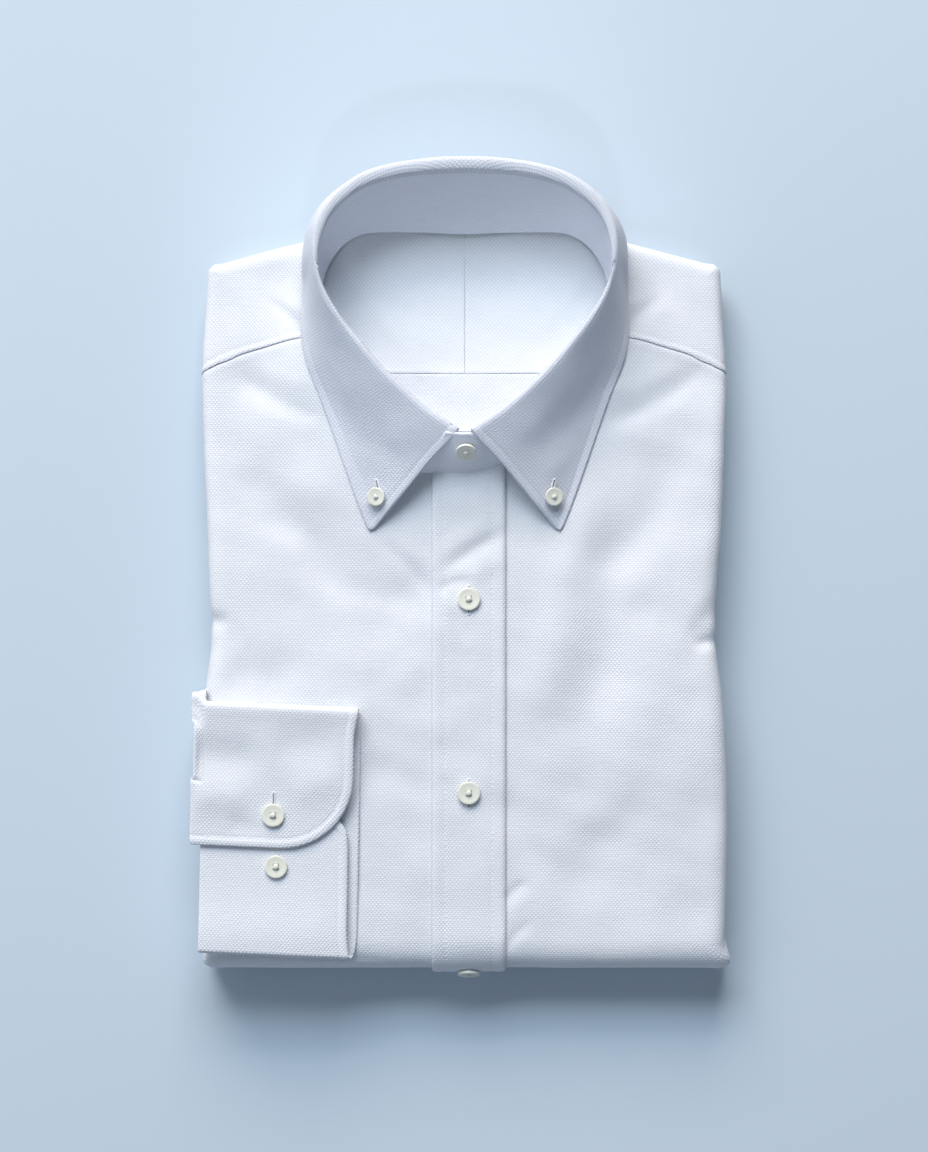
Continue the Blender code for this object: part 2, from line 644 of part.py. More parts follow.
# rounding of the flattened sleeve at its two folds: distance from the fold, share of its height
SLEEVE_ROUND = ((0.0, 0.0), (0.7, 0.7), (2.2, 1.0))
SLEEVE_HALF = 2.6             # half the thickness of the sleeve
SLEEVE_PLEATS = (109.0, 83.0)
PLEAT_SHARES = ((2.2, 1.0), (0.0, 0.62), (-1.2, 1.0))   # place beside a pleat, share of height
# lower, thinner part of the sleeve: y, share of its height
SLEEVE_LOWER = ((SLEEVE_STEP_Y + 4.0, 1.0), (SLEEVE_STEP_Y, 0.6), (32.0, 0.56))


def sleeve_path():
    """Middle of the sleeve as it turns down over the side edge: x, z and outward direction."""
    path = [(CUFF_LEFT - GAP, SLEEVE_TOP, 90.0)]
    for (x, z, radius), angles in ((SIDE_TURN, (90.0, 60.0, 30.0, 0.0)), (UNDER_TURN, (0.0, -25.0, -50.0))):
        if len(path) > 1:
            path.append((path[-1][0], SIDE_MIDDLE, 0.0))
        for angle in angles:
            turn = math.radians(angle)
            path.append((x - radius * math.cos(turn), z + radius * math.sin(turn), angle))
    return path


def sleeve_stations():
    """Stations down the sleeve's width: y, middle and half of its thickness."""
    low, high = SLEEVE_SPAN
    places = [(high - far, share) for far, share in SLEEVE_ROUND]
    for pleat in SLEEVE_PLEATS:
        places += [(pleat + beside, share) for beside, share in PLEAT_SHARES]
    places += SLEEVE_LOWER
    thin = SLEEVE_LOWER[-1][1]
    places += [(low + far, thin * share) for far, share in reversed(SLEEVE_ROUND)]
    stations = []
    for y, share in places:
        least = 0.5 if y < SLEEVE_STEP_Y or not share else 0.0
        stations.append((y, SLEEVE_HALF * (max(share, least) - 1.0), SLEEVE_HALF * share))
    return stations


def sleeve_ring(inset):
    """Closed ring of (y, offset) round the flattened sleeve, moved in by inset."""
    outer, inner = [], []
    low, high = SLEEVE_SPAN
    for y, middle, half in sleeve_stations():
        y = min(high - inset, max(low + inset, y))
        half = max(half - inset, SEAM)
        outer.append((y, middle + half))
        inner.append((y, middle - half))
    return outer + inner[::-1]


def sleeve():
    """Flattened sleeve tube between the cuff and the underside of the fold, open at both ends."""
    points = []
    path = sleeve_path()
    rings, count = len(path), len(sleeve_ring(0.0))
    for inset in (0.0, SLEEVE_WALL):
        for step, (x, z, angle) in enumerate(path):
            turn = math.radians(angle)
            lean = CUFF_LEAN * (1.0 - ease((step - 1.0) / 3.0))
            for y, offset in sleeve_ring(inset):
                along = x + lean * (CUFF_ENDS[1] - y)
                points.append((along - offset * math.cos(turn), y, z + offset * math.sin(turn)))
    inside = rings * count
    faces = grid_faces(rings, count, loop=True) + grid_faces(rings, count, inside, loop=True)
    for first in (0, (rings - 1) * count):
        for place in range(count):
            after = (place + 1) % count
            faces.append((first + place, first + after, inside + first + after, inside + first + place))
    return solid("sleeve", points, faces, "cloth")


# ---- buttons -------------------------------------------------------------------------------
def button(name, place, normal, diameter):
    """Turned button with a raised rim, GAP above the cloth."""
    sides = BUTTON_SIDES
    points, faces = [(0.0, 0.0, 0.0)], []
    scale = diameter / BUTTON
    for share, height in BUTTON_PROFILE[1:-1]:
        for side in range(sides):
            angle = 2 * math.pi * side / sides
            points.append((share * diameter / 2 * math.cos(angle), share * diameter / 2 * math.sin(angle),
                           height * BUTTON_HEIGHT * scale))
    points.append((0.0, 0.0, BUTTON_PROFILE[-1][1] * BUTTON_HEIGHT * scale))
    rings = len(BUTTON_PROFILE) - 2
    faces += grid_faces(rings, sides, first=1, loop=True)
    for side in range(sides):
        after = (side + 1) % sides
        faces.append((0, 1 + side, 1 + after))
        top = 1 + (rings - 1) * sides
        faces.append((len(points) - 1, top + side, top + after))
    made = solid(name, points, faces, "button")
    seat = Vector(place) + Vector(normal) * GAP
    turn = Vector(normal).to_track_quat("Z", "Y").to_matrix().to_4x4()
    made.matrix_world = Matrix.Translation(seat * MM) @ turn
    return made


def leaf_place(rows, hand, row, part):
    """Point and normal of the leaf's outer face at a place on its fall."""
    def middle(row, part):
        curve = leaf_curve(*collar_section(rows, hand * row))[3:]
        where = part * (len(curve) - 1)
        index = min(len(curve) - 2, int(where))
        return curve[index] + (curve[index + 1] - curve[index]) * (where - index)
    point = middle(row, part)
    normal = (middle(row + 0.3, part) - point).cross(middle(row, part + 0.05) - point).normalized()
    if normal.z < 0:
        normal = -normal
    return point + normal * LEAF_WALL / 2.0, normal


def buttons(rows):
    """All the buttons that show, each in its place."""
    x, outer = SPLIT_X, PLACKET_LIFT + WALL
    for count, y in enumerate(PLACKET_BUTTONS, 1):
        seat = Vector(form(*place_on(x, y), outer))
        ahead = Vector(form(*place_on(x, y + BUTTON / 2.0), outer)) - seat
        aside = Vector(form(*place_on(x + BUTTON / 2.0, y), outer)) - seat
        button("button_placket_%d" % count, seat, aside.cross(ahead).normalized(), BUTTON)
    button("button_placket_3", (x, -outer, FOLD_STACK / 2.0), (0.0, -1.0, 0.0), BUTTON)
    for count, (x, y, z) in enumerate(CUFF_BUTTONS, 1):
        button("button_cuff_%d" % count, (x, y, z + WALL / 2.0), (0.0, 0.0, 1.0), BUTTON)
    for hand, side in ((-1.0, "left"), (1.0, "right")):
        place, normal = leaf_place(rows, hand, *COLLAR_BUTTON_PLACE)
        button("button_collar_" + side, place, normal, COLLAR_BUTTON)
    foot, roll, edge = collar_section(rows, LAST)
    rise = (Vector((0.0, roll.y, roll.z)) - Vector((0.0, foot.y, foot.z)))
    normal = Vector((0.0, -rise.z, rise.y)).normalized()
    x, share = NECK_BUTTON_PLACE
    out = STAND_ASIDE + STAND_BOW + STAND_WALL / 2.0
    button("button_neck", Vector((x, foot.y, foot.z)) + rise * share + normal * out, normal, NECK_BUTTON)


def centre_all():
    """Move every piece so that the origin lies under the middle of the shirt."""
    bpy.context.view_layer.update()
    pieces = [made for made in bpy.data.objects if made.type == "MESH"]
    corners = [made.matrix_world @ vertex.co for made in pieces for vertex in made.data.vertices]
    low = Vector([min(corner[axis] for corner in corners) for axis in range(3)])
    high = Vector([max(corner[axis] for corner in corners) for axis in range(3)])
    shift = Vector(((low.x + high.x) / 2, (low.y + high.y) / 2, low.z))
    for made in pieces:
        made.location -= shift
    print("shift mm", [round(value / MM, 3) for value in shift])
    print("size mm", [round(value / MM, 1) for value in high - low])


def main():
    for made in list(bpy.data.objects):
        bpy.data.objects.remove(made, do_unlink=True)
    folded_layers()
    for hand in (-1.0, 1.0):
        front(hand)
        yoke(hand)
        inner_yoke(hand)
    back_panel()
    placket()
    rows = collar_rows()
    collar_stand(rows)
    collar_leaf(rows)
    cuff()
    sleeve()
    buttons(rows)
    centre_all()


main()
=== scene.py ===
"""Folded dress shirt: the visible cloth, stitches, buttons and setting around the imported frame.

Forms are worked out in millimetres in the garment's own system: X to the right, Y up from the
lower fold to the collar, Z off the table. `to_frame` turns them into the frame's metres.
"""
import math

import bmesh
import bpy
import numpy as np
from mathutils import Matrix, Vector
from mathutils.bvhtree import BVHTree


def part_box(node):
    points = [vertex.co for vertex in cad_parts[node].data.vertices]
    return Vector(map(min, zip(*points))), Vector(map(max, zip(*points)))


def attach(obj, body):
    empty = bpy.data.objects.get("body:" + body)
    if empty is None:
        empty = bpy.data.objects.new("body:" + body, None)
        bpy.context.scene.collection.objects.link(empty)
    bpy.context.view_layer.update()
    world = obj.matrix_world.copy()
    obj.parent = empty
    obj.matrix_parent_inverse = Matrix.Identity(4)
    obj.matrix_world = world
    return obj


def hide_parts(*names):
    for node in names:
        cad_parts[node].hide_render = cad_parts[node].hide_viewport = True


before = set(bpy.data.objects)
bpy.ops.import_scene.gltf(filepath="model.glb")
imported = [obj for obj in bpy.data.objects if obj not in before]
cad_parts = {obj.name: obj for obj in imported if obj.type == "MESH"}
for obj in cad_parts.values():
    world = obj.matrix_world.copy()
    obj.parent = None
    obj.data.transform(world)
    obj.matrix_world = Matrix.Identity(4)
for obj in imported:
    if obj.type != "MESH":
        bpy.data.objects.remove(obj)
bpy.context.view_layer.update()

bl_info = {
    "name": "Folded Dress Shirt",
    "version": (1, 0, 0),
    "blender": (4, 5, 0),
    "location": "View3D > Sidebar > Shirt",
    "description": "Makes the cloth, stitches and buttons of a folded dress shirt on its frame",
    "category": "Object",
}

MM = 0.001

# ---- sizes shared with the frame's solids ----
WALL = 1.5  # thickness of a panel's solid
GAP = 0.3  # from one solid to the next
SEAM = 0.15  # half the slit between two panels
STACK_DROP = 1.0  # the hidden layers lie this much lower than the panels
FOLD_STACK = 26.0  # height of the stack at the lower fold
SHOULDER_STACK = 19.0
THINNING = (130.0, 330.0)  # it thins between these heights up the body
LOWER_PACKET = 0.75  # the lower packet's edges stand out by this share of the upper's
NECK_RISE = 4.5  # the face rises by this much at the neck
# share of the way to the neck where that begins and its run, of the face and of the hidden layers
NECK_SHOWN, NECK_HIDDEN = (0.84, 0.14), (0.98, 0.5)
NECK_TOP = (312.0, 60.0)  # it fades below this y over this length
LOW_CALM = (14.0, 30.0)  # and the largest folds fade down to this y, over this length
SPLIT_X = 1.7  # where the two fronts meet
PLACKET_EDGES = (-14.9, 18.3)
PLACKET_LIFT = 2.2
PLACKET_TOP = (226.0, 224.6, 224.8, 228.0)  # y of the placket's top, across its width
FACE_ROWS = 12
COLLAR_SEAM = 6.0  # the leaf's inner edge lies this far down the stand
STAND_FOOT = 3.0
LEAF_GAP = 0.6
LEAF_WALL = 1.6
STAND_WALL = 1.8
STAND_LAP = 9.0
WRAP = 120.0  # degrees that a panel turns round a side edge
FOLD_TURN = 135.0  # and round the lower fold
WRAP_STEP = 30.0
FOLD_STEP = 22.5
NECK_INSET = 0.5
YOKE_GAP = 0.06  # the yoke seam closes almost wholly
YOKE_INSIDE = 267.3  # y of the seam between the inner yokes and the back
INSIDE_ROW = 10.05  # and the collar row where it meets the neck
START = FOLD_STACK / 2.0
SIDES = ((-1.0, "left"), (1.0, "right"))

# outline of the folded body: y, left edge, right edge
OUTLINE = (
    (0, 116.2, 116.2), (20, 116.8, 117.6), (50, 117.4, 118.4), (90, 118.0, 118.2),
    (122, 117.6, 116.2), (147, 114.6, 113.2), (170, 115.6, 114.2), (200, 116.6, 116.0),
    (235, 118.3, 117.4), (268, 119.2, 118.4), (290, 118.0, 117.0), (320, 116.2, 115.4),
)
# top edge: share of the half width, y
SHOULDER = ((0.0, 341.0), (0.35, 338.5), (0.52, 333.5), (0.62, 329.0), (0.8, 323.6), (1.0, 317.5))
# outer yoke seam, without its hand: x, y
YOKE_SEAM = ((64.5, 285.2), (73.6, 283.7), (88.0, 279.7), (100.0, 276.2), (112.0, 271.4),
             (118.5, 267.6))
SEAM_STATIONS = (66.0, 78.0, 90.0, 101.0)
# the same seam where it goes round a side edge: degrees turned, y
SEAM_ROUND = ((0.0, 271.2), (30.0, 269.3), (60.0, 267.8), (90.0, 266.8), (120.0, 265.8))
# collar: neck seam x, y; roll x, y, z; edge of the leaf x, y, z (z 0 = lies on the panels)
COLLAR = (
    (0, 330.2, 0, 359.2, 56, 0, 352, 12),
    (20.2, 330.9, 21.9, 357.9, 56, 22, 351.5, 12),
    (38.2, 331, 40.8, 353.7, 56, 43, 348, 12),
    (48.5, 329.7, 52.4, 347.2, 55.5, 57, 342, 12.5),
    (55.7, 324.3, 60.2, 339.8, 55, 66.8, 334.5, 15),
    (60.2, 318.9, 64.5, 331.4, 54.5, 71.6, 326, 20),
    (63.4, 312.2, 66.3, 322.1, 54, 72.6, 316, 0),
    (65.2, 303.6, 65.5, 313.9, 53, 72.8, 306, 0),
    (65.6, 293.3, 62.7, 304.8, 52, 73.2, 296, 0),
    (64.5, 285, 56.8, 293.5, 50.5, 73.8, 286, 0),
    (58.5, 268, 46.3, 279.5, 49, 70.9, 271, 0),
    (47, 252.5, 34.4, 266, 48, 63.6, 251.3, 0),
    (32.5, 238.5, 22.1, 254.6, 47, 56.8, 232.4, 0),
    (16, 228.5, 10.6, 245.4, 46.5, 50.2, 213.5, 0),
    (0, 225, 4, 241, 46, 42.8, 194.6, 0),
)
LAST = len(COLLAR) - 1
YOKE_ROW = LAST - 5
YOKE_NECK_ROWS = (8.0, 7.0, 6.0, 5.4, 4.9, 4.4, 4.0, 3.5, 3.0, 2.4, 1.7, 0.9, 0.0)
SHOULDER_STATIONS = (1.0, 0.85, 0.7, 0.56, 0.42, 0.28, 0.14)
NECK_MIDDLE = np.array((0.0, 282.0))
# the largest folds of the face: x, y of both ends, half width, depth
FOLDS = (
    (-94, 216, -32, 168, 17, 1.5),
    (-97, 262, -64, 246, 11, 1.2),
    (104, 262, 64, 246, 11, 1.2),
    (-113, 150, -84, 160, 10, 1.6),
    (113, 148, 86, 158, 10, 1.6),
    (60, 225, 62, 40, 22, 1),
    (-84, 305, -74, 294, 10, 0.9),
    (86, 307, 76, 294, 10, 0.8),
)
CUFF_RIGHT = -50.0
CUFF_LEFT = -117.5
CUFF_SLOPE = -0.045  # its rows slope, and its columns lean
CUFF_LEAN = -0.018
CUFF_LOW = 28.85  # heights of its three layers
CUFF_INNER = 31.4
CUFF_UPPER = 33.25
CUFF_ENDS = (7.4, 116.0)  # y of its lower and upper fold
FLAP_END = 54.2  # y where the upper layer ends, and where the inner one does
INNER_END = 74.0
SLEEVE_SPAN = (7.0, 123.0)
SLEEVE_STEP_Y = 59.0  # the sleeve is thinner below this y, under the cuff's two layers
SLEEVE_HALF = 2.6
SLEEVE_PLEATS = (109.0, 83.0)
BUTTON = 10.2  # distance across
COLLAR_BUTTON = 8.2
COLLAR_BUTTON_PLACE = (13.47, 0.88)  # collar row, share of the leaf's fall
NECK_BUTTON = 9.2
NECK_BUTTON_PLACE = (0.4, 0.55)  # x, share of the stand's rise
CUFF_BUTTONS = ((-85.8, 69.0, CUFF_UPPER), (-84.6, 45.8, CUFF_INNER))
PLACKET_BUTTONS = (165.6, 78.6)


def box_middle(node):
    low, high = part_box(node)
    return (low + high) / 2.0 / MM


# where the garment's own zero lies in the frame
MIDDLE = (box_middle("button_placket_3").x - SPLIT_X,
          box_middle("button_cuff_1").y - CUFF_BUTTONS[0][1])

# ---- smaller forms of the cloth ----
CLOTH = 1.0  # thickness of the shell that shows
RIM = 0.9  # an edge is rounded over this width
SIDE_SQUARE = 3.5  # how far the round edges fill out towards a square section
FOLD_SQUARE = 6.5
TOP_SQUARE = 0.6  # share of it at the top edge
CORNER = (108.5, 10.0, 10.0)  # bottom corner: x and y of its middle, and its reach
CORNER_POWER = 5.0
CORNER_TIP = (36.0, 13.0, 0.1)  # the right one's tip: degrees, their spread, how much further out
EDGE_CALM = 0.35  # share of the creases left where the cloth turns down
BUTTON_CALM = 7.0  # and round a button they fade over this reach
STITCH_INSET = 6.0  # placket stitches lie this far from its edges
INSIDE_SEAM = 0.03  # the inside seams close almost wholly
INSIDE_REACH = 0.5  # and the cloth runs a little under the collar
LEAF_STITCH = 3.8
LEAF_FLAT = 4.0  # the leaf lies flat on the body over this width of its edge
LEAF_REST = 15.0  # and comes up over this one
LEAF_HANGS = 284.0  # above this y it hangs free beside the neck
LEAF_FREES = 36.0  # it comes free over this length
LEAF_DROP = 1.6  # its edge settles by no more than this
LEAF_EVENED = 24  # and as evenly as this many smoothings make it
LEAF_MEET = 2.6  # and its two ends draw together at the neck
LEAF_GRAIN = (45.0, 40.0)  # degrees that its threads turn on each side, and over how far
TIP_ROUND, TIP_REACH = 1.5, 2.4
ROLL_NEAR = 10.0  # an edge nearer the roll than this stands straight down
ROLL_BEND = 5.0  # the roll bends out by no more than this
FALL_STEPS = (0.1, 0.24, 0.4, 0.6, 0.8, 1.0)
STAND_OVER = (20.0, 8.0)  # the upper lap reaches this far past the middle at its foot and top
STAND_FRONT_RISE = 5.6  # the stand stands higher between the leaf's ends
STAND_TUCK = 3.4  # and its foot is let down on to the placket
STAND_OUT = 1.1  # it moves out by this much at the lap
STAND_BOW = 1.2  # and bows out by this much halfway up
LEAF_PLACES = (7.0, 6.2)  # collar rows where the leaf's lines change to closer ones
CUFF_INNER_ROWS = (74.0, 72.0, 68.0, 60.0, 40.0, 20.0)  # y of its lines, layer by layer
CUFF_LOW_ROWS = (20.0, 60.0, 100.0)
CUFF_UPPER_ROWS = (104.0, 92.0, 82.0, 73.0, 66.0, 60.5, 57.0, 55.0, FLAP_END)
CUFF_LOW_TURNS = (0.0, 45.0, 90.0, 135.0, 180.0)
CUFF_HIGH_TURNS = (0.0, 40.0, 80.0, 120.0, 180.0)
CUFF_PLAIN = 14  # this many of its lines keep the plain left edge
CUFF_STITCH = 4.0
CUFF_WIDER = 4.6  # the cloth spreads this much further at the sleeve
CUFF_TILT, TILT_FROM, TILT_RUN = 2.0, 58.0, 62.0  # it rises towards its upper fold, from this y
CUFF_STEP, STEP_LOW, STEP_HIGH = 1.1, 85.5, 110.0  # and stands back between the nicks
CUFF_SWELL, SWELL_Y, SWELL_WIDE = 2.1, 12.0, 17.0  # its lower end is fuller round this y
SWELL_LOSS, SWELL_X, SWELL_FADE = 0.4, -70.0, 16.0  # by less past this x
FOLD_SWELL, FOLD_NEAR = 0.5, 4.6  # its upper fold is fuller too
CUFF_CALM = 8.0  # its creases fade round a button
FLAP_ROUND = 33.0  # radius of the upper layer's corner, and of the inner one's
INNER_ROUND = 18.0
# past here the cuff's corner is pulled up by the sleeve, and falls by this share of it
EAR_AT, EAR_RISE, EAR_DROP = (-115.0, 106.0), 3.8, 0.5
PLEAT_STEP = 0.12  # share of the sleeve's height lost below a pleat
PLEAT_RUN = 6.0  # and recovered over about this run
SLEEVE_ROUND = 2.2  # width of the sleeve's round edges
SLEEVE_SHELL = 0.8  # thickness of its cloth
# its flat start and upright run: x, z, degrees it faces up; its turns: middle x and z, radius, degrees
SLEEVE_START = ((-113.8, 25.4, 90.0), (-114.3, 25.4, 90.0))
SLEEVE_UPPER = (-114.4, 22.5, 2.9, (90.0, 60.0, 30.0, 0.0))
SLEEVE_UPRIGHT = (-117.3, 15.0, 0.0)
SLEEVE_LOWER = (-112.3, 7.6, 5.0, (0.0, -25.0, -50.0))
SLEEVE_EAR = 2.2  # its upper fold stands out by this much at its corner
EAR_FROM, EAR_RUN = 109.0, 9.0  # and the corner is drawn out and up above this y
EAR_OUT, EAR_UP = 2.4, 2.6
LAYER_SHELL = 1.2  # thickness of the outermost hidden layer
LAYER_SUNK = 1.3  # it lies this much lower under the front's troughs
LAYER_STEP = 7.5  # degrees from one of its lines to the next round an edge
# grooves between the stacked layers: quarter turns from the face, depth
LAYER_GROOVES = ((0.42, 0.5), (0.8, 0.8), (1.16, 0.9), (1.5, 0.7), (1.78, 0.5))
ABOVE = 80.0  # rays down on to the cloth start at this height
# short nicks and a faint line where the sleeve's pleats are sewn in
CUFF_NICKS = (
    (-124.5, 111.4, -118.4, 109.4, 0, 0.7, -0.7),
    (-124.5, 85.6, -117.6, 84, 0, 0.7, -0.7),
    (-117, 110, -116.6, 84, 0, 0.6, -0.16),
)
# creases: x, y of both ends, sideways bow, half width, height (a trough is negative)
CREASES = (
    # below the right yoke seam and down the right chest
    (108, 270, 62, 244, 3, 4.6, -0.8),
    (104, 258, 60, 240, 0, 10, 0.5),
    (95, 271, 66, 259, 2, 4, 0.4),
    (84, 135, 70, 70, 0, 12, 0.5),
    (56, 102, 112, 98, 0, 24, 1),
    (40, 38, 112, 36, 0, 20, -1),
    (96, 230, 64, 178, 4, 10.5, -1.7),
    (66, 196, 56, 106, 4, 10.5, -1.8),
    (60, 224, 43, 172, 2, 9, 1),
    (43, 184, 36, 112, 2, 10, 1.2),
    (114, 168, 103, 148, 1, 4, -0.8),
    (121, 149, 104, 145, 0, 2.6, -1.3),
    (121, 157, 104, 151.5, 0, 4, 0.9),
    (109, 134, 95, 126, 1, 6, 0.3),
    (119, 192, 114.5, 150, 0, 7, -1.5),
    (82, 74, 50, 52, 2, 9.5, -0.8),
    (19, 82, 36, 44, -3, 6.5, -0.8),
    (96, 60, 84, 24, 2, 9, 0.5),
    (18, 29, 27, 38, 1, 2.6, -0.6),
    (18, 20, 31, 33, 1, 2.6, 0.15),
    (18.5, 8, 29, 20, 1, 2.4, -0.6),
    # below the left yoke seam and across the left chest
    (-102, 267, -65, 247, -3, 4.4, -0.8),
    (-95, 272, -70, 262, -2, 4, 0.35),
    (-97, 258, -60, 240, 0, 10, 0.6),
    (-99, 224, -77, 196, 1, 8, -0.8),
    (-112, 212, -56, 218, 0, 18, 0.8),
    (-121, 7, -44, 4.5, 0, 0.8, -1.1),
    (-85, 205, -56, 168, 3, 8.5, -1.5),
    (-78, 172, -28, 146, 0, 17, -1.2),
    (-62, 170, -17, 169, -2, 7.5, -0.6),
    (-74, 224, -42, 184, 3, 9, 0.6),
    (-37, 191, -15, 168, 1, 3.6, -0.6),
    (-122, 157.5, -108, 155, 0, 3.4, -1.7),
    (-120, 149, -108, 149, 0, 4, 0.25),
    (-113, 145, -100, 140, 1, 5, 0.2),
    (-108, 131, -78, 127, 1, 8, -1.2),
    (-43, 125, -16, 147, 2, 6, -0.4),
    (-43, 93, -16, 76, 2, 7, -0.45),
    (-38, 60, -18, 40, 2, 7, 0.3),
    (-107, 152.5, -78, 162, 0, 10, 1.4),
    (106, 151, 80, 160, 0, 10, 1.5),
    # shoulders
    (-89, 301, -68, 281, 1, 2.4, -0.8),
    (-81, 300, -66, 289, 1, 3.2, 0.5),
    (86, 301, 69, 282, -1, 2.6, -0.8),
    (79, 302, 68, 290, -1, 3, 0.4),
    (91, 299, 78, 279, -1, 3.4, 0.35),
)
PLACKET_CREASES = (
    (-10, 178, 17, 195, 1, 3.4, -0.7),
    (0, 174, 18, 184, 1, 4.6, 0.5),
    (-12, 184, 11, 200, 1, 4.6, 0.4),
    (-12, 170, 2, 174, 1, 2.4, -0.4),
    (-9, 168, -6.5, 153, 0, 2.4, 0.35),
    (-8, 160, 1, 147, 1, 4, -0.35),
    (-11, 118, 12, 128, 1, 6, -0.25),
    (-10, 86, -3, 71, 1, 3.4, -0.35),
    (-11, 95, 14, 86, 1, 5, 0.2),
    (-12, 40, 10, 52, 1, 6, -0.2),
)
LEAF_CREASES = (
    (66, 273, 34, 233, 2, 10, -1.5),
    (54, 250, 38, 220, 2, 4, 0.35),
    (-64, 268, -42, 232, -3, 6, -0.6),
    (-36, 240, -22, 226, 1, 4, 0.3),
    (-54, 274, -20, 236, -4, 8, 1),
    (54, 274, 20, 236, 4, 8, 1),
)
CUFF_CREASES = (
    (-126, 96, -92, 93.5, 1, 9, -1.6),
    (-86, 98, -56, 102, 1, 9, -1),
    (-122, 76.5, -98, 76, 1, 7.5, 1),
    (-77, 78, -56, 85, 1, 7.5, 0.7),
    (-106, 65, -90, 63, 0, 4.5, -0.5),
)

# ---- plain mathematics ----
def ease(value):
    value = np.clip(value, 0.0, 1.0)
    return value * value * (3.0 - 2.0 * value)


def bell(value, width):
    return np.exp(-(value / width) ** 2)


def together(*parts):
    return np.stack(parts, axis=-1)


def unit(vectors):
    return vectors / np.maximum(np.linalg.norm(vectors, axis=-1, keepdims=True), 1e-9)


def spread(start, end, count):
    return [start + (end - start) * index / (count - 1) for index in range(count)]


def turns(limit, step):
    """Quarter turns from one step up to a limit in degrees."""
    return [step * count / 90.0 for count in range(1, int(round(limit / step)) + 1)]


def spline(rows, at, calm=False):
    """Smooth curve through table rows (position, values); a calm one never swings past them."""
    rows = np.asarray(rows, dtype=float)
    place, values = rows[:, 0], rows[:, 1:]
    slopes = np.gradient(values, place, axis=0)
    if calm:
        rates = np.diff(values, axis=0) / np.diff(place)[:, None]
        before, after = np.vstack([rates[:1], rates]), np.vstack([rates, rates[-1:]])
        limit = 3.0 * np.minimum(np.abs(before), np.abs(after))
        slopes = np.where(before * after > 0.0, np.clip(slopes, -limit, limit), 0.0)
    at = np.clip(np.asarray(at, dtype=float), place[0], place[-1])
    index = np.clip(np.searchsorted(place, at, side="right") - 1, 0, len(place) - 2)
    step = (place[index + 1] - place[index])[..., None]
    t = (at - place[index])[..., None] / step
    near = (1 + 2 * t) * (1 - t) ** 2 * values[index] + t * (1 - t) ** 2 * step * slopes[index]
    far = t * t * (3 - 2 * t) * values[index + 1] + t * t * (t - 1) * step * slopes[index + 1]
    return near + far


def resample(grid, rows_at, columns_at, straight=None):
    """Smooth surface through a grid of values, at finer places counted in its rows and columns.

    From the row `straight` on, the lines across it are straight between the columns.
    """
    grid = np.asarray(grid, dtype=float)
    rows, columns, parts = grid.shape
    table = np.column_stack([np.arange(rows), grid.reshape(rows, -1)])
    by_row = spline(table, rows_at, calm=True).reshape(len(rows_at), columns, parts)
    table = np.column_stack([np.arange(columns), by_row.transpose(1, 0, 2).reshape(columns, -1)])
    smooth = spline(table, columns_at, calm=True).reshape(len(columns_at), len(rows_at), parts)
    smooth = smooth.transpose(1, 0, 2)
    if straight is None:
        return smooth
    index = np.minimum(np.asarray(columns_at).astype(int), columns - 2)
    part = (columns_at - index)[None, :, None]
    lines = by_row[:, index] * (1.0 - part) + by_row[:, index + 1] * part
    share = ease((np.asarray(rows_at) - straight) / 0.8)[:, None, None]
    return smooth * (1.0 - share) + lines * share


def places(points, axis, step, rim_step, rim):
    """Places along one axis of a coarse grid that are `step` apart, and closer near both ends."""
    points = np.asarray(points, dtype=float)
    lengths = np.linalg.norm(np.diff(points, axis=axis), axis=-1)
    run = np.concatenate([[0.0], np.cumsum(lengths.mean(axis=1 - axis))])
    near = np.arange(0.0, rim, rim_step)
    middle = np.linspace(rim, run[-1] - rim, max(2, int((run[-1] - 2 * rim) / step) + 1))
    at = np.concatenate([near, middle, run[-1] - near[::-1]])
    return np.interp(at, run, np.arange(len(run)))


def fine_grid(coarse, by_rows, by_columns):
    """Smooth grid through a coarse one; each way has a step, a closer step and its rim's width."""
    return resample(coarse, places(coarse, 0, *by_rows), places(coarse, 1, *by_columns))


def line_run(line):
    """Length along a line of points up to each of them."""
    return np.concatenate([[0.0], np.cumsum(np.linalg.norm(np.diff(line, axis=0), axis=1))])


def run_of(points, axis):
    """Running length along one axis of a grid."""
    lengths = np.linalg.norm(np.diff(points, axis=axis), axis=-1)
    pad = [(0, 0), (0, 0)]
    pad[axis] = (1, 0)
    return np.cumsum(np.pad(lengths, pad), axis=axis)


def line_distance(points, line):
    """Distance of each point of a grid from a line of points."""
    flat = points.reshape(-1, 3)
    start, run = line[:-1], np.diff(line, axis=0)
    square = np.maximum((run * run).sum(axis=1), 1e-12)
    best = np.full(len(flat), np.inf)
    for first in range(0, len(flat), 4000):
        block = flat[first:first + 4000, None, :]
        along = np.clip(((block - start) * run).sum(axis=2) / square, 0.0, 1.0)
        away = block - start - along[..., None] * run
        best[first:first + 4000] = np.sqrt((away * away).sum(axis=2)).min(axis=1)
    return best.reshape(points.shape[:-1])


# ---- form of the folded body ----
def stack_height(y):
    start, end = THINNING
    return FOLD_STACK + (SHOULDER_STACK - FOLD_STACK) * ease((y - start) / (end - start))


def packet_radius(y):
    return stack_height(y) / 4.0


def flat_half(y, hand):
    """Distance from the middle to where the side edge starts to round away."""
    edges = spline(OUTLINE, y)
    return np.where(np.asarray(hand) > 0, edges[..., 1], edges[..., 0]) - packet_radius(y) - GAP - WALL


def shoulder_line(across):
    top = spline(SHOULDER, np.abs(across))[..., 0]
    return top - packet_radius(top) - GAP - WALL


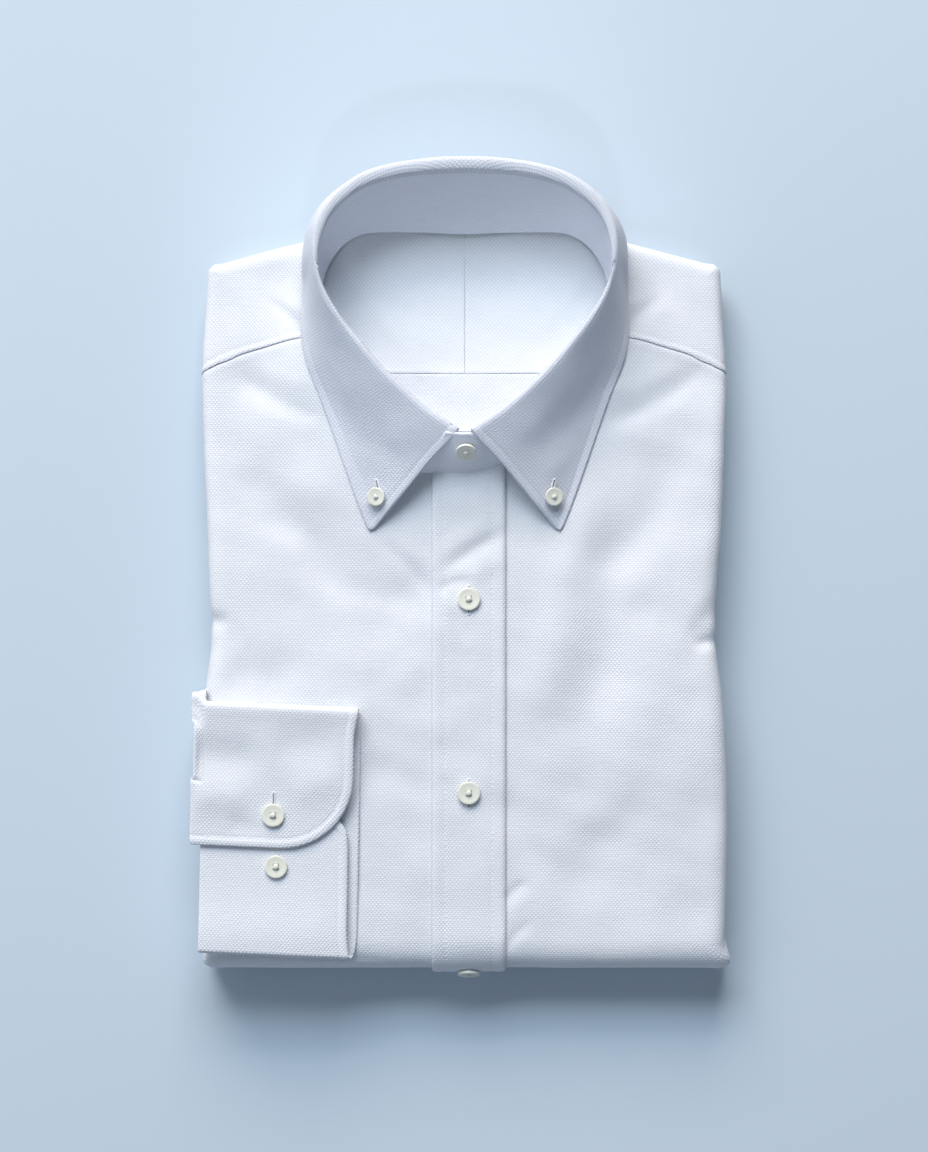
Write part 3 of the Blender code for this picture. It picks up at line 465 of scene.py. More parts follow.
def neck_ring():
    half = np.array([row[:2] for row in COLLAR])
    other = half[-2:0:-1] * (-1.0, 1.0)
    ring = np.vstack([half, other]) - NECK_MIDDLE
    angles = np.arctan2(ring[:, 1], ring[:, 0])
    order = np.argsort(angles)
    return angles[order], np.linalg.norm(ring, axis=1)[order]


NECK_RING = neck_ring()


def relief(x, y, hidden=False):
    """Height added to the face: the rise toward the neck less the largest folds."""
    away = together(x - NECK_MIDDLE[0], y - NECK_MIDDLE[1])
    radius = np.interp(np.arctan2(away[..., 1], away[..., 0]), *NECK_RING, period=2 * math.pi)
    reach = np.linalg.norm(away, axis=-1) / radius
    start, run = NECK_HIDDEN if hidden else NECK_SHOWN
    rise = ease((reach - start) / run) * bell(np.maximum(0.0, reach - 1.0), 0.5)
    height = NECK_RISE * rise * ease((NECK_TOP[0] - y) / NECK_TOP[1])
    for x0, y0, x1, y1, width, depth in FOLDS:
        run_x, run_y = x1 - x0, y1 - y0
        along = np.clip(((x - x0) * run_x + (y - y0) * run_y) / (run_x ** 2 + run_y ** 2), 0.0, 1.0)
        off = np.hypot(x - x0 - run_x * along, y - y0 - run_y * along) / width
        height = height - depth * bell(off, 1.0)
    return height * ease((y - LOW_CALM[0]) / LOW_CALM[1])


def form(across, along, lift=0.0, lower=False, hidden=False):
    """Points of the folded body, as the frame's solids have it.

    across: -1..1 is flat, one more unit turns 90 degrees round a side edge.
    along: 0..1 is the straight body; one unit below 0 turns 90 degrees round the lower fold,
    one unit above 1 turns 90 degrees round the top edge.
    """
    across, along = np.asarray(across, dtype=float), np.asarray(along, dtype=float)
    hand = np.where(across > 0, 1.0, -1.0)
    flat = np.clip(across, -1.0, 1.0)
    y = START + np.clip(along, 0.0, 1.0) * (shoulder_line(flat) - START)
    side = np.maximum(0.0, np.abs(across) - 1.0)
    end = np.maximum(0.0, along - 1.0)
    turned = np.radians(90.0 * np.maximum(side, end))
    heading = np.arctan2(end, side)
    radius = packet_radius(y)
    bulge = LOWER_PACKET if lower else 1.0
    outward = (radius * bulge + lift) * np.sin(turned)
    height = radius + (radius + lift) * np.cos(turned)
    x = flat * flat_half(y, hand) + hand * outward * np.cos(heading)
    y_out = y + outward * np.sin(heading)
    middle = stack_height(y) / 2.0
    if lower:
        z = middle - height
    else:
        z = middle + height + relief(x, y, hidden) * (0.5 + 0.5 * np.cos(turned))
    fold = np.radians(-90.0 * np.minimum(along, 0.0))
    bent = along < 0
    y_out = np.where(bent, START - height * np.sin(fold), y_out)
    z = np.where(bent, START + height * np.cos(fold), z)
    return together(x, y_out, z)


def place_on(x, y):
    """The `across` and `along` of points of the flat face."""
    x, y = np.asarray(x, dtype=float), np.asarray(y, dtype=float)
    hand = np.where(x > 0, 1.0, -1.0)
    half = flat_half(y, hand)
    across = x / half
    line = shoulder_line(np.clip(across, -1.0, 1.0))
    along = (y - START) / (line - START)
    round_by = packet_radius(y) + GAP + WALL
    side = np.arcsin(np.clip((np.abs(x) - half) / round_by, 0.0, 1.0)) / (math.pi / 2)
    across = np.where(np.abs(across) > 1.0, hand * (1.0 + side), across)
    top = np.arcsin(np.clip((y - line) / round_by, 0.0, 1.0)) / (math.pi / 2)
    along = np.where(along > 1.0, 1.0 + top, along)
    return across, along


def side_along(y):
    return (y - START) / (shoulder_line(1.0) - START)


def face_height(x, y):
    return form(*place_on(x, y), lift=GAP + WALL)[..., 2]


def cloth_place(across, along):
    """Where a point of the body lies on the flat cloth, in millimetres."""
    hand = np.where(across > 0, 1.0, -1.0)
    flat = np.clip(across, -1.0, 1.0)
    y = START + np.clip(along, 0.0, 1.0) * (shoulder_line(flat) - START)
    radius = packet_radius(y) + GAP + WALL
    side = np.maximum(0.0, np.abs(across) - 1.0) * radius * math.pi / 2
    end = np.maximum(0.0, along - 1.0) * radius * math.pi / 2
    fold = np.minimum(0.0, along) * (FOLD_STACK / 2 + GAP + WALL) * math.pi / 2
    return together(flat * flat_half(y, hand) + hand * side, y + end + fold)


def creases(table, x, y):
    """Sum of the soft troughs and ridges of a table."""
    height = np.zeros(np.shape(x))
    for x0, y0, x1, y1, bow, width, tall in table:
        run_x, run_y = x1 - x0, y1 - y0
        length = math.hypot(run_x, run_y)
        along = ((x - x0) * run_x + (y - y0) * run_y) / length ** 2
        off = ((x - x0) * -run_y + (y - y0) * run_x) / length
        off = off - bow * np.sin(np.clip(along, 0.0, 1.0) * math.pi)
        fade = ease((along + 0.15) / 0.45) * ease((1.2 - along) / 0.5)
        height = height + tall * fade * bell(off, width)
    return height


# long low waves of cloth that has been folded: x and y waves per millimetre, phase, height
WAVES = (
    (0.021, 0.009, 0.4, 0.16), (-0.013, 0.024, 1.9, 0.13), (0.034, -0.017, 3.1, 0.08),
    (0.008, 0.041, 5.0, 0.07), (-0.047, -0.012, 2.2, 0.05), (0.019, 0.062, 0.9, 0.035),
)


def waves(x, y):
    height = np.zeros(np.shape(x))
    for per_x, per_y, phase, tall in WAVES:
        swing = 1.5 * np.sin(0.023 * x + 0.031 * y + 2.0 * phase)
        height = height + tall * np.sin(2 * math.pi * (per_x * x + per_y * y) + phase + swing)
    return height


def face_detail(x, y, table):
    """Creases and waves of the face, calm round each button of the placket."""
    def raw(x, y):
        height = creases(CREASES, x, y) + waves(x, y)
        return height if table is CREASES else height + creases(table, x, y)
    height = raw(x, y)
    for at in PLACKET_BUTTONS:
        here = raw(np.array(SPLIT_X), np.array(at))
        away = (x - SPLIT_X) ** 2 + (y - at) ** 2
        height = height - here * np.exp(-away / BUTTON_CALM ** 2)
    return height


# ---- meshes ----
def to_frame(points):
    return (np.asarray(points, dtype=float) + (*MIDDLE, 0.0)) * MM


def from_frame(points):
    """Points that were found in the frame, but in millimetres, as the garment's own."""
    return np.array([tuple(point) for point in points]) - (*MIDDLE, 0.0)


def grid_faces(rows, columns, first=0, loop=False):
    across = columns if loop else columns - 1
    row, column = np.meshgrid(np.arange(rows - 1), np.arange(across), indexing="ij")
    here = first + row * columns
    after = (column + 1) % columns
    above = here + columns
    return together(here + column, here + after, above + after, above + column).reshape(-1, 4)


def new_object(name, data):
    made = bpy.data.objects.new(name, data)
    bpy.context.scene.collection.objects.link(made)
    return made


def new_piece(name, points, faces, uv, material, turn=True):
    """Closed mesh piece from points in garment millimetres, with its cloth map."""
    mesh = bpy.data.meshes.new(name)
    mesh.from_pydata(to_frame(points).tolist(), [], [tuple(face) for face in faces])
    if turn:
        work = bmesh.new()
        work.from_mesh(mesh)
        bmesh.ops.recalc_face_normals(work, faces=work.faces)
        work.to_mesh(mesh)
        work.free()
    if uv is not None:
        layer = mesh.uv_layers.new(name="Cloth")
        index = np.empty(len(mesh.loops), dtype=np.int32)
        mesh.loops.foreach_get("vertex_index", index)
        layer.data.foreach_set("uv", np.asarray(uv, dtype=np.float32)[index].ravel())
    mesh.shade_smooth()
    mesh.materials.append(material)
    return new_object(name, mesh)


def border(points):
    """The four edges of a grid as one closed line."""
    return np.vstack([points[0], points[1:, -1], points[-1, -2::-1], points[-2::-1, 0]])


def shell(name, middle, uv, material, wall=CLOTH, edge=None, rim=RIM, normal=None, blunt=0.15):
    """Thin closed cloth about a grid of middle points; its edges thin to the share `blunt`."""
    if normal is None:
        normal = unit(np.cross(np.gradient(middle, axis=0), np.gradient(middle, axis=1)))
    near = line_distance(middle, border(middle)[::2]) if edge is None else edge
    round_off = np.sqrt(1.0 - (1.0 - np.clip(near / rim, 0.0, 1.0)) ** 2)
    half = normal * (wall / 2.0 * np.maximum(round_off, blunt))[..., None]
    rows, columns = middle.shape[:2]
    points = np.vstack([(middle - half).reshape(-1, 3), (middle + half).reshape(-1, 3)])
    second = rows * columns
    faces = [grid_faces(rows, columns), grid_faces(rows, columns, second)]
    index = np.arange(second).reshape(rows, columns)
    ring = border(index[..., None])[:-1, 0]
    after = np.roll(ring, -1)
    faces.append(together(ring, after, after + second, ring + second))
    both = np.vstack([uv.reshape(-1, 2)] * 2)
    made = new_piece(name, points, np.vstack(faces), both, material)
    top = middle + half if normal[rows // 2, columns // 2, 2] > 0 else middle - half
    SURFACES[name] = top
    return made


SURFACES = {}


def join_frame(piece, node=None):
    """A piece rides with the shirt, in the place of a solid if it has one."""
    if node is not None:
        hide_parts(node)
    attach(piece, "root")


def settle(piece, node):
    """A cloth piece takes the place of its solid."""
    join_frame(piece, node)


# ---- materials ----
def node_group(name, inputs, outputs):
    group = bpy.data.node_groups.new(name, "ShaderNodeTree")
    for kind, label, value in inputs:
        made = group.interface.new_socket(name=label, in_out="INPUT", socket_type=kind)
        if value is not None:
            made.default_value = value
    for kind, label in outputs:
        group.interface.new_socket(name=label, in_out="OUTPUT", socket_type=kind)
    return group, group.nodes.new("NodeGroupInput"), group.nodes.new("NodeGroupOutput")


def maths(tree, kind, *values):
    """Math node on sockets or numbers."""
    made = tree.nodes.new("ShaderNodeMath")
    made.operation = kind
    for slot, value in enumerate(values):
        if isinstance(value, (int, float)):
            made.inputs[slot].default_value = value
        else:
            tree.links.new(value, made.inputs[slot])
    return made.outputs[0]


def object_place(tree):
    return tree.nodes.new("ShaderNodeTexCoord").outputs["Object"]


def noise(tree, vector, scale, detail=2.0, rough=0.5):
    made = tree.nodes.new("ShaderNodeTexNoise")
    made.inputs["Scale"].default_value = scale
    made.inputs["Detail"].default_value = detail
    made.inputs["Roughness"].default_value = rough
    tree.links.new(vector, made.inputs["Vector"])
    return made.outputs["Fac"]


def weave_group():
    """Oxford weave: paired threads that pass over and under, a little uneven. Its Shade darkens the
    colour where the threads lie low: painted shade in the gaps, with some uneven thread tone.
    """
    tree, start, end = node_group(
        "oxford_weave",
        [("NodeSocketVector", "Place", None), ("NodeSocketFloat", "Pair Width", 1.7),
         ("NodeSocketFloat", "Row Height", 0.95), ("NodeSocketFloat", "Unevenness", 0.5)],
        [("NodeSocketFloat", "Height"), ("NodeSocketFloat", "Shade")])
    place = start.outputs["Place"]
    apart = tree.nodes.new("ShaderNodeSeparateXYZ")
    tree.links.new(place, apart.inputs[0])
    stretch = tree.nodes.new("ShaderNodeVectorMath")
    stretch.operation = "MULTIPLY"
    stretch.inputs[1].default_value = (0.25, 1.6, 1.0)
    tree.links.new(place, stretch.inputs[0])
    uneven = start.outputs["Unevenness"]
    drift = maths(tree, "SUBTRACT", noise(tree, place, 0.22, 1.0), 0.5)
    drift = maths(tree, "MULTIPLY", drift, uneven)
    slub = maths(tree, "SUBTRACT", noise(tree, stretch.outputs[0], 0.55, 2.0), 0.5)
    across = maths(tree, "DIVIDE", apart.outputs["X"], start.outputs["Pair Width"])
    across = maths(tree, "ADD", across, drift)
    row = maths(tree, "DIVIDE", apart.outputs["Y"], start.outputs["Row Height"])
    row = maths(tree, "ADD", row, maths(tree, "MULTIPLY", slub, uneven))
    wide = maths(tree, "SINE", maths(tree, "MULTIPLY", across, 2 * math.pi))
    tall = maths(tree, "SINE", maths(tree, "MULTIPLY", row, math.pi))
    over = maths(tree, "MULTIPLY", wide, tall)
    lines = maths(tree, "ABSOLUTE", tall)
    grain = maths(tree, "SUBTRACT", noise(tree, place, 1.3, 2.0), 0.5)
    height = maths(tree, "MULTIPLY_ADD", over, 0.34, 0.35)
    height = maths(tree, "ADD", height, maths(tree, "MULTIPLY", lines, 0.22))
    height = maths(tree, "ADD", height, maths(tree, "MULTIPLY", grain, 0.35))
    height = maths(tree, "ADD", height, maths(tree, "MULTIPLY", slub, 0.3))
    tree.links.new(height, end.inputs["Height"])
    # painted shade: the lower the threads, the darker the colour, with uneven thread tone from the noise
    shade = maths(tree, "SUBTRACT", 1.0, height)
    limit = tree.nodes.new("ShaderNodeClamp")
    tree.links.new(shade, limit.inputs["Value"])
    tree.links.new(limit.outputs[0], end.inputs["Shade"])


def new_material(name, roughness, **values):
    """New finish; the values are the shader's inputs by their labels."""
    made = bpy.data.materials.new(name)
    made.use_nodes = True
    shader = made.node_tree.nodes["Principled BSDF"]
    shader.inputs["Roughness"].default_value = roughness
    for label, value in values.items():
        shader.inputs[label.replace("_", " ")].default_value = value
    return made.node_tree, shader


def mix_colour(tree, factor, one, two, target):
    made = tree.nodes.new("ShaderNodeMix")
    made.data_type = "RGBA"
    tree.links.new(factor, made.inputs["Factor"])
    made.inputs[6].default_value = (*one, 1.0)
    made.inputs[7].default_value = (*two, 1.0)
    tree.links.new(made.outputs[2], target)


def bump(tree, height, distance, strength, target):
    made = tree.nodes.new("ShaderNodeBump")
    made.inputs["Strength"].default_value = strength
    made.inputs["Distance"].default_value = distance
    tree.links.new(height, made.inputs["Height"])
    tree.links.new(made.outputs[0], target)


EDGE_PAINTED_SHADE, EDGE_WIDTH = 1.6, 0.4  # depth of the painted shade line beside a folded edge, and its fall
THREAD_GRAIN = 0.05  # bumps in millimetres: thread, button, floor
BUTTON_GRAIN = 0.04
FLOOR_GRAIN = 0.1


def cloth_material(name, settings, painted_light_and_shade_tint=(1.0, 1.0, 1.0), depth=1.0, fine=1.0, edge=None):
    """Oxford cloth on a piece's own cloth map, whose unit is a millimetre; a tint above one makes a
    brighter copy of it, painted light, and one below one a darker copy, painted shade.

    With an `edge` across the map, a thin line of painted shade lies along it.
    """
    tree, shader = new_material(name, 0.82, Sheen_Weight=0.12, Sheen_Roughness=0.5,
                                Specular_IOR_Level=0.25)
    place = tree.nodes.new("ShaderNodeUVMap")
    place.uv_map = "Cloth"
    weave = tree.nodes.new("ShaderNodeGroup")
    weave.node_tree = bpy.data.node_groups["oxford_weave"]
    tree.links.new(place.outputs[0], weave.inputs["Place"])
    weave.inputs["Pair Width"].default_value = settings.pair_width / MM * fine
    weave.inputs["Row Height"].default_value = settings.row_height / MM * fine
    weave.inputs["Unevenness"].default_value = settings.unevenness
    # the tint brightens the cloth where light is painted and darkens it where shade is painted
    light = [value * part for value, part in zip(settings.cloth_colour, painted_light_and_shade_tint)]
    dark = [value * part for value, part in zip(settings.gap_painted_shade, painted_light_and_shade_tint)]
    shade = weave.outputs["Shade"]
    # painted shade: a thin dark line along a folded edge
    if edge is not None:
        apart = tree.nodes.new("ShaderNodeSeparateXYZ")
        tree.links.new(place.outputs[0], apart.inputs[0])
        away = maths(tree, "ABSOLUTE", maths(tree, "SUBTRACT", apart.outputs["X"], edge))
        line = maths(tree, "SUBTRACT", EDGE_PAINTED_SHADE, maths(tree, "DIVIDE", away, EDGE_WIDTH))
        shade = maths(tree, "MAXIMUM", shade, line)
    mix_colour(tree, shade, light, dark, shader.inputs["Base Color"])
    bump(tree, weave.outputs["Height"], settings.weave_depth * depth, 1.0, shader.inputs["Normal"])


def thread_material(name, colour):
    tree, shader = new_material(name, 0.7, Sheen_Weight=0.1, Specular_IOR_Level=0.3)
    fibre = noise(tree, object_place(tree), 4000.0, 2.0)
    mix_colour(tree, fibre, colour, [0.86 * value for value in colour], shader.inputs["Base Color"])
    bump(tree, fibre, THREAD_GRAIN * MM, 0.5, shader.inputs["Normal"])


def button_material(settings):
    """Cream button with a soft pearly cloud and a polished face."""
    tree, shader = new_material(
        "button_cream", 0.22, Specular_IOR_Level=0.5, IOR=1.53, Coat_Weight=0.35, Coat_Roughness=0.12,
        Subsurface_Weight=0.15, Subsurface_Radius=(0.002, 0.0016, 0.001))
    place = object_place(tree)
    cloud = noise(tree, place, 260.0, 3.0, 0.55)
    mix_colour(tree, cloud, settings.button_colour, settings.button_shade, shader.inputs["Base Color"])
    bump(tree, noise(tree, place, 900.0), BUTTON_GRAIN * MM, 0.3, shader.inputs["Normal"])


def floor_material(colour):
    tree, shader = new_material("floor_paper", 0.85, Specular_IOR_Level=0.2)
    place = object_place(tree)
    cloud, grain = noise(tree, place, 1.5, 3.0), noise(tree, place, 900.0)
    mix_colour(tree, cloud, colour, [0.985 * value for value in colour], shader.inputs["Base Color"])
    bump(tree, grain, FLOOR_GRAIN * MM, 0.05, shader.inputs["Normal"])


def finish(name):
    return bpy.data.materials[name]


# ---- stations of the panels, as the solids have them ----
def seam_place(x):
    return spline(YOKE_SEAM, abs(x))[0]


def neck_place(row, inset):
    ring = [(index, *entry[:2]) for index, entry in enumerate(COLLAR)]
    point = spline(ring, row)
    return point + unit(point - NECK_MIDDLE) * inset


def front_stations(hand):
    split = SPLIT_X * hand + SEAM
    wide = flat_half(START, hand)
    top = [neck_place(row, NECK_INSET) for row in range(LAST, YOKE_ROW, -1)]
    top[0][0] = split
    top += [np.array((x, seam_place(x) - YOKE_GAP)) for x in SEAM_STATIONS]
    low = spread(split, wide, len(top) + 1)
    stations = []
    for turn in reversed(turns(FOLD_TURN, FOLD_STEP)):
        stations.append([(hand * x / wide, -turn) for x in low]
                        + [(hand * (1.0 + side), -turn) for side in turns(WRAP, WRAP_STEP)])
    for share in spread(0.0, 1.0, FACE_ROWS):
        row = []
        for low_x, high in zip(low, top):
            x = low_x + (high[0] - low_x) * share
            row.append(place_on(hand * x, START + (high[1] - START) * share))
        for degrees, seam_y in SEAM_ROUND:
            y = START + (seam_y - YOKE_GAP - START) * share
            row.append((hand * (1.0 + degrees / 90.0), side_along(y)))
        stations.append(row)
    return stations


def yoke_stations(hand):
    quarter = math.radians(90.0)
    seam_end = side_along(SEAM_ROUND[0][1] + YOKE_GAP)
    side_rows = 3
    outer = [(hand, along, 0.0) for along in spread(seam_end, 1.0, side_rows + 1)]
    outer += [(hand, 1.0, quarter * share) for share in (1.0 / 3.0, 2.0 / 3.0)]
    outer += [(hand * across, 1.0, quarter) for across in SHOULDER_STATIONS]
    outer.append((hand * SEAM / SHOULDER[-1][1], 1.0, quarter))
    inner = [np.array((SEAM_STATIONS[0], seam_place(SEAM_STATIONS[0]) + YOKE_GAP))]
    inner += [neck_place(row, NECK_INSET) for row in YOKE_NECK_ROWS]
    inner[-1][0] = SEAM
    stations = []
    for (across, along, heading), start in zip(outer, inner):
        near = place_on(hand * start[0], start[1])
        row = [(near[0] + (across - near[0]) * share, near[1] + (along - near[1]) * share)
               for share in spread(0.0, 1.0, len(SEAM_STATIONS) + 1)]
        longest = max(math.cos(heading), math.sin(heading))
        for turn in turns(WRAP, WRAP_STEP):
            side, end = turn * math.cos(heading) / longest, turn * math.sin(heading) / longest
            row.append((across + hand * side, along + end))
        stations.append(row)
    for column, x in enumerate(SEAM_STATIONS):
        stations[0][column] = place_on(hand * x, seam_place(x) + YOKE_GAP)
    first = len(SEAM_STATIONS) + 1
    for index, row in enumerate(stations[:side_rows]):
        for column, (_, seam_y) in enumerate(SEAM_ROUND[1:], first):
            across, along = row[column]
            fall = side_along(seam_y + YOKE_GAP) - seam_end
            row[column] = (across, along + fall * (1.0 - index / side_rows))
    return stations


def placket_stations():
    left, right = PLACKET_EDGES
    columns = spread(left, right, len(PLACKET_TOP))
    stations = []
    for turn in reversed(turns(FOLD_TURN, FOLD_STEP)):
        stations.append([(x / flat_half(START, x), -turn) for x in columns])
    for share in spread(0.0, 1.0, FACE_ROWS + 2):
        stations.append([place_on(x, START + (top - START) * share)
                         for x, top in zip(columns, PLACKET_TOP)])
    return stations


def inner_yoke_stations(hand):
    stations = []
    for share in spread(0.0, 1.0, 9):
        edge = neck_place(INSIDE_ROW * share, INSIDE_REACH)
        bottom = YOKE_INSIDE + INSIDE_SEAM + (COLLAR[0][1] - 2.0 - YOKE_INSIDE) * (1.0 - share)
        edge = np.array((max(edge[0], INSIDE_SEAM), max(edge[1], YOKE_INSIDE + INSIDE_SEAM)))
        stations.append([place_on(hand * (INSIDE_SEAM + (edge[0] - INSIDE_SEAM) * part),
                                  bottom + (edge[1] - bottom) * part)
                         for part in spread(0.0, 1.0, 6)])
    return stations


def back_stations():
    stations = []
    for share in spread(0.0, 1.0, 7):
        edge = neck_place(INSIDE_ROW + (LAST - INSIDE_ROW - 0.25) * share, INSIDE_REACH)
        y = min(edge[1], YOKE_INSIDE - INSIDE_SEAM) if share > 0.0 else YOKE_INSIDE - INSIDE_SEAM
        stations.append([place_on(x, y) for x in spread(-edge[0], edge[0], 8)])
    return stations


def fill_out(quarters):
    """Share by which a square section stands out from a round one, after so many quarter turns."""
    turn = np.clip(quarters, 0.0, 2.0) * math.pi / 2.0
    return (np.abs(np.cos(turn)) ** 4 + np.abs(np.sin(turn)) ** 4) ** -0.25 - 1.0


def square_edges(across, along):
    side = fill_out(np.abs(across) - 1.0)
    end = np.maximum(fill_out(-along), TOP_SQUARE * fill_out(along - 1.0))
    return SIDE_SQUARE * side + FOLD_SQUARE * end


def square_corner(points):
    """Carry the two bottom corners further out."""
    middle_x, middle_y, reach = CORNER
    u = np.maximum(np.abs(points[..., 0]) - middle_x, 0.0) / reach
    v = np.maximum(middle_y - points[..., 1], 0.0) / reach
    inside = (u > 0.0) & (v > 0.0)
    size = np.maximum((u ** CORNER_POWER + v ** CORNER_POWER) ** (1.0 / CORNER_POWER), 1e-9)
    grow = np.where(inside, np.hypot(u, v) / size, 1.0)
    degrees, wide, further = CORNER_TIP
    tip = bell(np.degrees(np.arctan2(v, np.maximum(u, 1e-9))) - degrees, wide)
    grow = grow + np.where(inside & (points[..., 0] > 0.0), further * tip, 0.0)
    moved = points.copy()
    moved[..., 0] += np.sign(points[..., 0]) * u * reach * (grow - 1.0)
    moved[..., 1] -= v * reach * (grow - 1.0)
    return moved


def fine_panel(stations, step, detail, rim_step=0.5, rim=4.0, lift=GAP, table=CREASES,
               straight=None, fill=1.0):
    """Middle points and cloth map of a panel, finer near its edges."""
    coarse = form(np.array(stations)[..., 0], np.array(stations)[..., 1], lift=GAP + WALL)
    rows_at = places(coarse, 0, step, rim_step, rim)
    columns_at = places(coarse, 1, step, rim_step, rim)
    fine = resample(stations, rows_at, columns_at, straight)
    across, along = fine[..., 0], fine[..., 1]
    outer = lift + WALL - CLOTH / 2.0
    base = form(across, along, outer)
    height = face_detail(base[..., 0], base[..., 1], table)
    turned = np.maximum(np.abs(across) - 1.0, np.maximum(along - 1.0, -along))
    height = height * (EDGE_CALM + (1.0 - EDGE_CALM) * ease(1.0 - turned))
    height = height + detail(base) + square_edges(across, along) * fill
    middle = square_corner(form(across, along, outer + height))
    above = square_corner(form(across, along, outer + height + WALL))
    return middle, cloth_place(across, along), unit(above - middle)


# ---- pieces ----
def seam_line(hand, offset):
    """Outer yoke seam as a line of points on the cloth, moved up the body by an offset."""
    x = np.linspace(60.0, 108.0, 60)
    y = np.array([seam_place(value) for value in x]) + offset
    line = form(*place_on(hand * x, y), lift=GAP + WALL)
    turn = np.linspace(0.0, WRAP, 25)
    side_y = spline(SEAM_ROUND, turn)[..., 0] + offset
    round_side = form(hand * (1.0 + turn / 90.0), side_along(side_y), GAP + WALL)
    return np.vstack([line, round_side])


def make_panel(name, node, stations, step, material, detail, blunt, slot="cloth", held="folded",
               rests_on=("folded_layers",), **shape):
    """Cloth panel on the body, from its stations and the small forms of its own."""
    middle, uv, up = fine_panel(stations, step, detail, **shape)
    made = shell("shirt_" + name, middle, uv, material, normal=up, blunt=blunt)
    settle(made, node)


def make_fronts(material):
    for hand, side in SIDES:
        seam = seam_line(hand, -YOKE_GAP)

        def tucked(points):
            away = line_distance(points, seam)
            return 0.1 * bell(away - 2.6, 1.6) - 0.2 * bell(away, 0.7)
        make_panel("front_" + side, "front_" + side, front_stations(hand), 1.15, material, tucked, 0.75)


def make_yokes(material):
    for hand, side in SIDES:
        seam = seam_line(hand, YOKE_GAP)

        def turned_edge(points):
            away = line_distance(points, seam)
            return 0.3 * bell(away - 1.1, 1.2) - 0.12 * bell(away - 3.0, 0.8)
        make_panel("yoke_" + side, "yoke_" + side, yoke_stations(hand), 1.1, material, turned_edge, 0.75,
                   straight=1.6)


def make_placket(material):
    left, right = PLACKET_EDGES

    def sewn(points):
        x = points[..., 0]
        height = np.zeros(x.shape)
        for edge, fall in ((left, 0.2), (right, 0.45)):
            away = np.abs(x - edge)
            height = height - 0.12 * bell(away - STITCH_INSET, 0.7)
            height = height + 0.1 * bell(away - 2.6, 1.8) - fall * bell(away, 1.0)
        return height
    make_panel("placket", "placket", placket_stations(), 1.0, material, sewn, 0.4,
               rests_on=("shirt_front_left", "shirt_front_right"), rim_step=0.4, rim=8.0,
               lift=PLACKET_LIFT - 0.1, table=PLACKET_CREASES, fill=0.72)


def make_inside(yoke_material, back_material):
    def seam_dip(points):
        x, y = np.abs(points[..., 0]), points[..., 1]
        low = 0.12 * bell((y - YOKE_INSIDE) - 1.2, 1.2)
        return low - 0.1 * bell(x, 0.7) + 0.06 * bell(x - 2.0, 1.2)

    def tucked(points):
        return -0.1 * bell(YOKE_INSIDE - points[..., 1], 0.8)
    for hand, side in SIDES:
        make_panel("inner_yoke_" + side, "inner_yoke_" + side, inner_yoke_stations(hand), 1.1,
                   yoke_material, seam_dip, 0.92, "inner_cloth", "laid")
    make_panel("back", "back_panel", back_stations(), 1.1, back_material, tucked, 0.92,
               "inner_cloth", "laid")


def collar_rows():
    """Rows of the collar all round: index, foot, roll and free edge of its section."""
    rows = []
    for index in range(-LAST, LAST + 1):
        hand = 1.0 if index >= 0 else -1.0
        bx, by, rx, ry, rz, ex, ey, ez = COLLAR[abs(index)]
        base = (hand * bx, by, face_height(bx, by) + STAND_FOOT - WALL)
        free = ez if ez else face_height(ex, ey) + GAP + LEAF_WALL * 0.85
        rows.append((index, *base, hand * rx, ry, rz, hand * ex, ey, free))
    return rows


def collar_section(rows, at):
    values = spline(rows, at)
    return values[:3].copy(), values[3:6].copy(), values[6:9].copy()


def stand_grid(rows):
    """Coarse grid of the stand, whose two ends lap at the front."""
    places_round = [-LAST - 1.0, -LAST - 0.5] + spread(-LAST, LAST, 33) + [LAST + 0.5, LAST + 1.0]
    grid = []
    for place in places_round:
        foot, roll = collar_section(rows, min(LAST, max(-LAST, place)))[:2]
        past = max(0.0, abs(place) - LAST)
        hand = 1.0 if place > 0 else -1.0
        if abs(place) >= LAST:
            roll[0] = 0.0
        for point, lap in ((foot, STAND_OVER[0]), (roll, STAND_OVER[1])):
            point[0] -= hand * (lap if hand > 0 else STAND_LAP) * past
            point[1] += 0.35 * past
        rise = roll - foot
        lapped = ease(abs(place) - LAST + 1.0)
        front = ease((abs(place) - LAST + 4.0) / 2.0)
        rise = rise - unit(rise) * (COLLAR_SEAM + LEAF_GAP - STAND_FRONT_RISE * lapped)
        foot = foot - unit(rise) * STAND_TUCK * front
        rise = rise + unit(rise) * STAND_TUCK * front
        around = np.array((foot[1] - NECK_MIDDLE[1], -(foot[0] - NECK_MIDDLE[0]), 0.0))
        normal = unit(np.cross(rise, around))
        if normal @ np.array((foot[0], foot[1] - NECK_MIDDLE[1], 0.0)) < 0:
            normal = -normal
        shift = normal * hand * STAND_OUT * ease((abs(place) - LAST + 2.0) / 2.0)
        grid.append([foot + rise * part + shift + normal * STAND_BOW * math.sin(math.pi * part)
                     for part in spread(0.0, 1.0, 5)])
    return np.array(grid)


